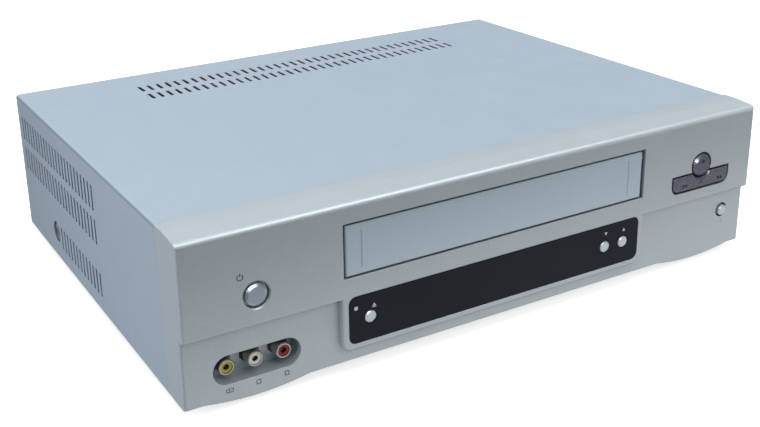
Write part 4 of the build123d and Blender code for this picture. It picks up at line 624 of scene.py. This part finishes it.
scart_low, scart_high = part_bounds("scart_sockets")
scart_half_width = 23.5 * MM
scart_half_height = 7.3 * MM
tongue_half_height = 2.8 * MM
blades_in_row = 10
blade_pitch = 3.81 * MM
blade_half_width = 0.8 * MM
blade_thickness = 0.35 * MM
blade_back = scart_high.y - 11.5 * MM
blade_front = scart_high.y - 0.8 * MM
scart_z = scart_high.z - scart_half_height
blades = bmesh.new()
for scart_x in (scart_low.x + scart_half_width, scart_high.x - scart_half_width):
    for row in (-1, 1):
        for column in range(blades_in_row):
            blade_x = scart_x + (column - (blades_in_row - 1) / 2) * blade_pitch + row * blade_pitch / 4
            face = scart_z + row * tongue_half_height
            low, high = sorted((face, face + row * blade_thickness))
            add_block(blades, (blade_x - blade_half_width, blade_back, low),
                      (blade_x + blade_half_width, blade_front, high))
piece("scart_blades", blades, "case", bright_plate)

tuner_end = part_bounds("tuner")[1].y
aerial_low, aerial_high = part_box("tuner", lambda point: point.y > tuner_end - 0.1 * MM)
aerial_reach = (aerial_high.z - aerial_low.z) / 2
aerial_z = (aerial_low.z + aerial_high.z) / 2
aerial_xs = (aerial_low.x + aerial_reach, aerial_high.x - aerial_reach)
sleeve("aerial_insulators", [(x, aerial_z) for x in aerial_xs], mouth=tuner_end - 5.0 * MM,
       inner_end=tuner_end - 9.5 * MM, outer=aerial_reach - 0.85 * MM, inner=1.25 * MM,
       finish=acetal_mould)

inlet_x = middle("mains_inlet")[0]
inlet_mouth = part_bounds("mains_inlet")[1].y
inlet_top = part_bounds("mains_inlet")[1].z
pin_z = inlet_top - 6.5 * MM
pin_radius = 1.32 * MM
pin_tip = inlet_mouth - 3.6 * MM
pin_root = inlet_mouth - 15.5 * MM
pin_half_pitch = 3.75 * MM
pins = bmesh.new()
for pin_x in (inlet_x - pin_half_pitch, inlet_x + pin_half_pitch):
    dome = [(pin_tip - pin_radius * (1 - cos(radians(angle))), pin_radius * sin(radians(angle)))
            for angle in (0, 30, 60, 90)]
    add_turned(pins, pin_x, pin_z, dome + [(pin_root, pin_radius), (pin_root, 0)])
smooth(piece("inlet_pins", pins, "case", bright_plate))

# ----------------------------------------------------------------------------------------------
# Floor, light and camera
# ----------------------------------------------------------------------------------------------


def stage_piece(name, mesh, finish):
    """Something that isn't part of the recorder and throws no light or shade on it."""
    data = bpy.data.meshes.new(name)
    mesh.to_mesh(data)
    mesh.free()
    made = bpy.data.objects.new(name, data)
    bpy.context.scene.collection.objects.link(made)
    data.materials.append(finish.material)
    made.visible_diffuse = False
    made.visible_glossy = False
    made.visible_shadow = False


def make_floor():
    """A wide pale floor and a pale wall far round it, both a little bright by themselves."""
    pale = Finish("floor_pale", (0.55, 0.55, 0.55), 0.8)
    pale.mottle(0.01, 3.0).gloss(0.03, 5.0)
    pale.shader.inputs["Emission Color"].default_value = (1, 1, 1, 1)
    pale.shader.inputs["Emission Strength"].default_value = 0.68
    pale.shader.inputs["Specular IOR Level"].default_value = 0.1
    floor = bmesh.new()
    bmesh.ops.create_grid(floor, x_segments=2, y_segments=2, size=12.0)
    stage_piece("floor", floor, pale)
    far = Finish("wall_pale", (0.30, 0.30, 0.30), 0.9)
    far.mottle(0.01, 1.0).gloss(0.03, 1.0)
    far.shader.inputs["Emission Color"].default_value = (0.98, 0.99, 1, 1)
    far.shader.inputs["Emission Strength"].default_value = 0.95
    wall = bmesh.new()
    bmesh.ops.create_uvsphere(wall, u_segments=48, v_segments=24, radius=9.0)
    stage_piece("wall", wall, far)


def soft_light(name, place, target, size, power, colour=(1, 1, 1), matt=True, gloss=True, only=()):
    """A rectangular area light turned to a target.

    It may give no matt light or no gloss, and light only some nodes. Places and sizes are in metres, and
    the power is in watts.
    """
    data = bpy.data.lights.new(name, "AREA")
    data.shape = "RECTANGLE"
    data.size, data.size_y = size
    data.energy = power
    data.color = colour
    lamp = bpy.data.objects.new(name, data)
    lamp.location = place
    lamp.rotation_euler = (Vector(target) - Vector(place)).to_track_quat("-Z", "Y").to_euler()
    lamp.visible_camera = False
    lamp.visible_diffuse = matt
    lamp.visible_glossy = gloss
    if only:
        lit = bpy.data.collections.new(name)
        for node in only:
            lit.objects.link(nodes[node])
        lamp.light_linking.receiver_collection = lit
    bpy.context.scene.collection.objects.link(lamp)


def make_world():
    """A pale room: bright overhead, dimmer to the sides and dim below."""
    world = bpy.data.worlds.new("room")
    world.use_nodes = True
    bpy.context.scene.world = world
    tree = world.node_tree
    direction = tree.nodes.new("ShaderNodeTexCoord")
    parts = tree.nodes.new("ShaderNodeSeparateXYZ")
    tree.links.new(direction.outputs["Generated"], parts.inputs["Vector"])
    ramp = tree.nodes.new("ShaderNodeValToRGB")
    height = tree.nodes.new("ShaderNodeMapRange")
    height.inputs["From Min"].default_value = -1.0
    tree.links.new(parts.outputs["Z"], height.inputs["Value"])
    tree.links.new(height.outputs["Result"], ramp.inputs["Fac"])
    straight_down, just_below, just_above, overhead = 0.0, 0.46, 0.60, 1.0
    stops = ramp.color_ramp.elements
    stops[0].position = straight_down
    stops[0].color = (0.26, 0.27, 0.28, 1)
    stops[1].position = overhead
    stops[1].color = (0.74, 0.80, 0.86, 1)
    stops.new(just_below).color = (0.13, 0.14, 0.15, 1)
    stops.new(just_above).color = (0.15, 0.165, 0.18, 1)
    background = tree.nodes["Background"]
    tree.links.new(ramp.outputs["Color"], background.inputs["Color"])
    background.inputs["Strength"].default_value = 0.72


def make_light():
    """A wide soft sky light, soft lamps on each side, the table's glow, and lamps for the highlights."""
    sky = bpy.data.lights.new("sky", "SUN")
    sky.energy = 2.55
    sky.angle = radians(45)
    lamp = bpy.data.objects.new("sky", sky)
    lamp.rotation_euler = Vector((-0.12, -0.1, -1)).to_track_quat("-Z", "Y").to_euler()
    lamp.visible_glossy = False
    bpy.context.scene.collection.objects.link(lamp)
    soft_light("left", place=(-1.0, 0.15, 0.55), target=(-0.18, 0, 0.05), size=(0.7, 0.5), power=2.7,
               colour=(0.90, 0.93, 1.0), gloss=False)
    soft_light("left_low", place=(-0.65, -0.11, 0.12), target=(-0.18, -0.11, 0.03), size=(0.3, 0.2),
               power=1.8, colour=(0.92, 0.94, 1.0), gloss=False)
    soft_light("right", place=(0.62, -0.60, 0.20), target=(0.16, front_y, 0.04), size=(0.4, 0.3),
               power=1.8, gloss=False)
    soft_light("front", place=(0.1, -1.1, 1.0), target=(0, front_y, 0.04), size=(1.2, 0.7), power=3.9,
               gloss=False)
    soft_light("table", place=(0.105, front_y - 0.09, -0.03), target=(0.105, front_y - 0.09, 1.0),
               size=(0.58, 0.15), power=0.18)
    soft_light("edge", place=(0.34, -0.57, 1.1), target=(-0.08, front_y, 0.08), size=(1.25, 0.4), power=6.0,
               matt=False, only=("front_panel",))
    soft_light("round_keys", place=(-0.08, -1.3, 0.32), target=(0, front_y, 0.05), size=(1.0, 0.3),
               power=10.0, matt=False,
               only=("power_button", "stop_eject_button", "channel_down_button", "channel_up_button",
                     "record_button"))
    soft_light("dark_keys", place=(-0.70, -1.0, 0.85), target=(0.14, front_y, 0.06), size=(0.5, 0.4),
               power=34.0, matt=False, only=("play_button", "search_rocker"))
    soft_light("right_side", place=(1.3, 0.25, 0.45), target=(0.18, 0, 0.05), size=(0.8, 0.6), power=5.0,
               gloss=False)
    soft_light("rear", place=(0.15, 1.5, 0.45), target=(0, 0.13, 0.05), size=(1.2, 0.6), power=12.0,
               gloss=False)


def make_camera():
    """The camera, where the photographer stood."""
    azimuth, elevation, roll = radians(29.127), radians(19.340), radians(-1.489)
    place = (-0.33191, front_y - 0.42377, 0.29137)
    data = bpy.data.cameras.new("camera")
    data.sensor_width = 36.0
    data.lens = 53.14
    data.shift_x = 0.0515
    data.shift_y = -0.0925
    camera = bpy.data.objects.new("camera", data)
    turn = (Matrix.Rotation(-azimuth, 4, "Z") @ Matrix.Rotation(pi / 2 - elevation, 4, "X")
            @ Matrix.Rotation(roll, 4, "Z"))
    camera.matrix_world = Matrix.Translation(place) @ turn
    bpy.context.scene.collection.objects.link(camera)
    bpy.context.scene.camera = camera


make_floor()
make_world()
make_light()
make_camera()
bpy.context.scene.view_settings.view_transform = "Standard"
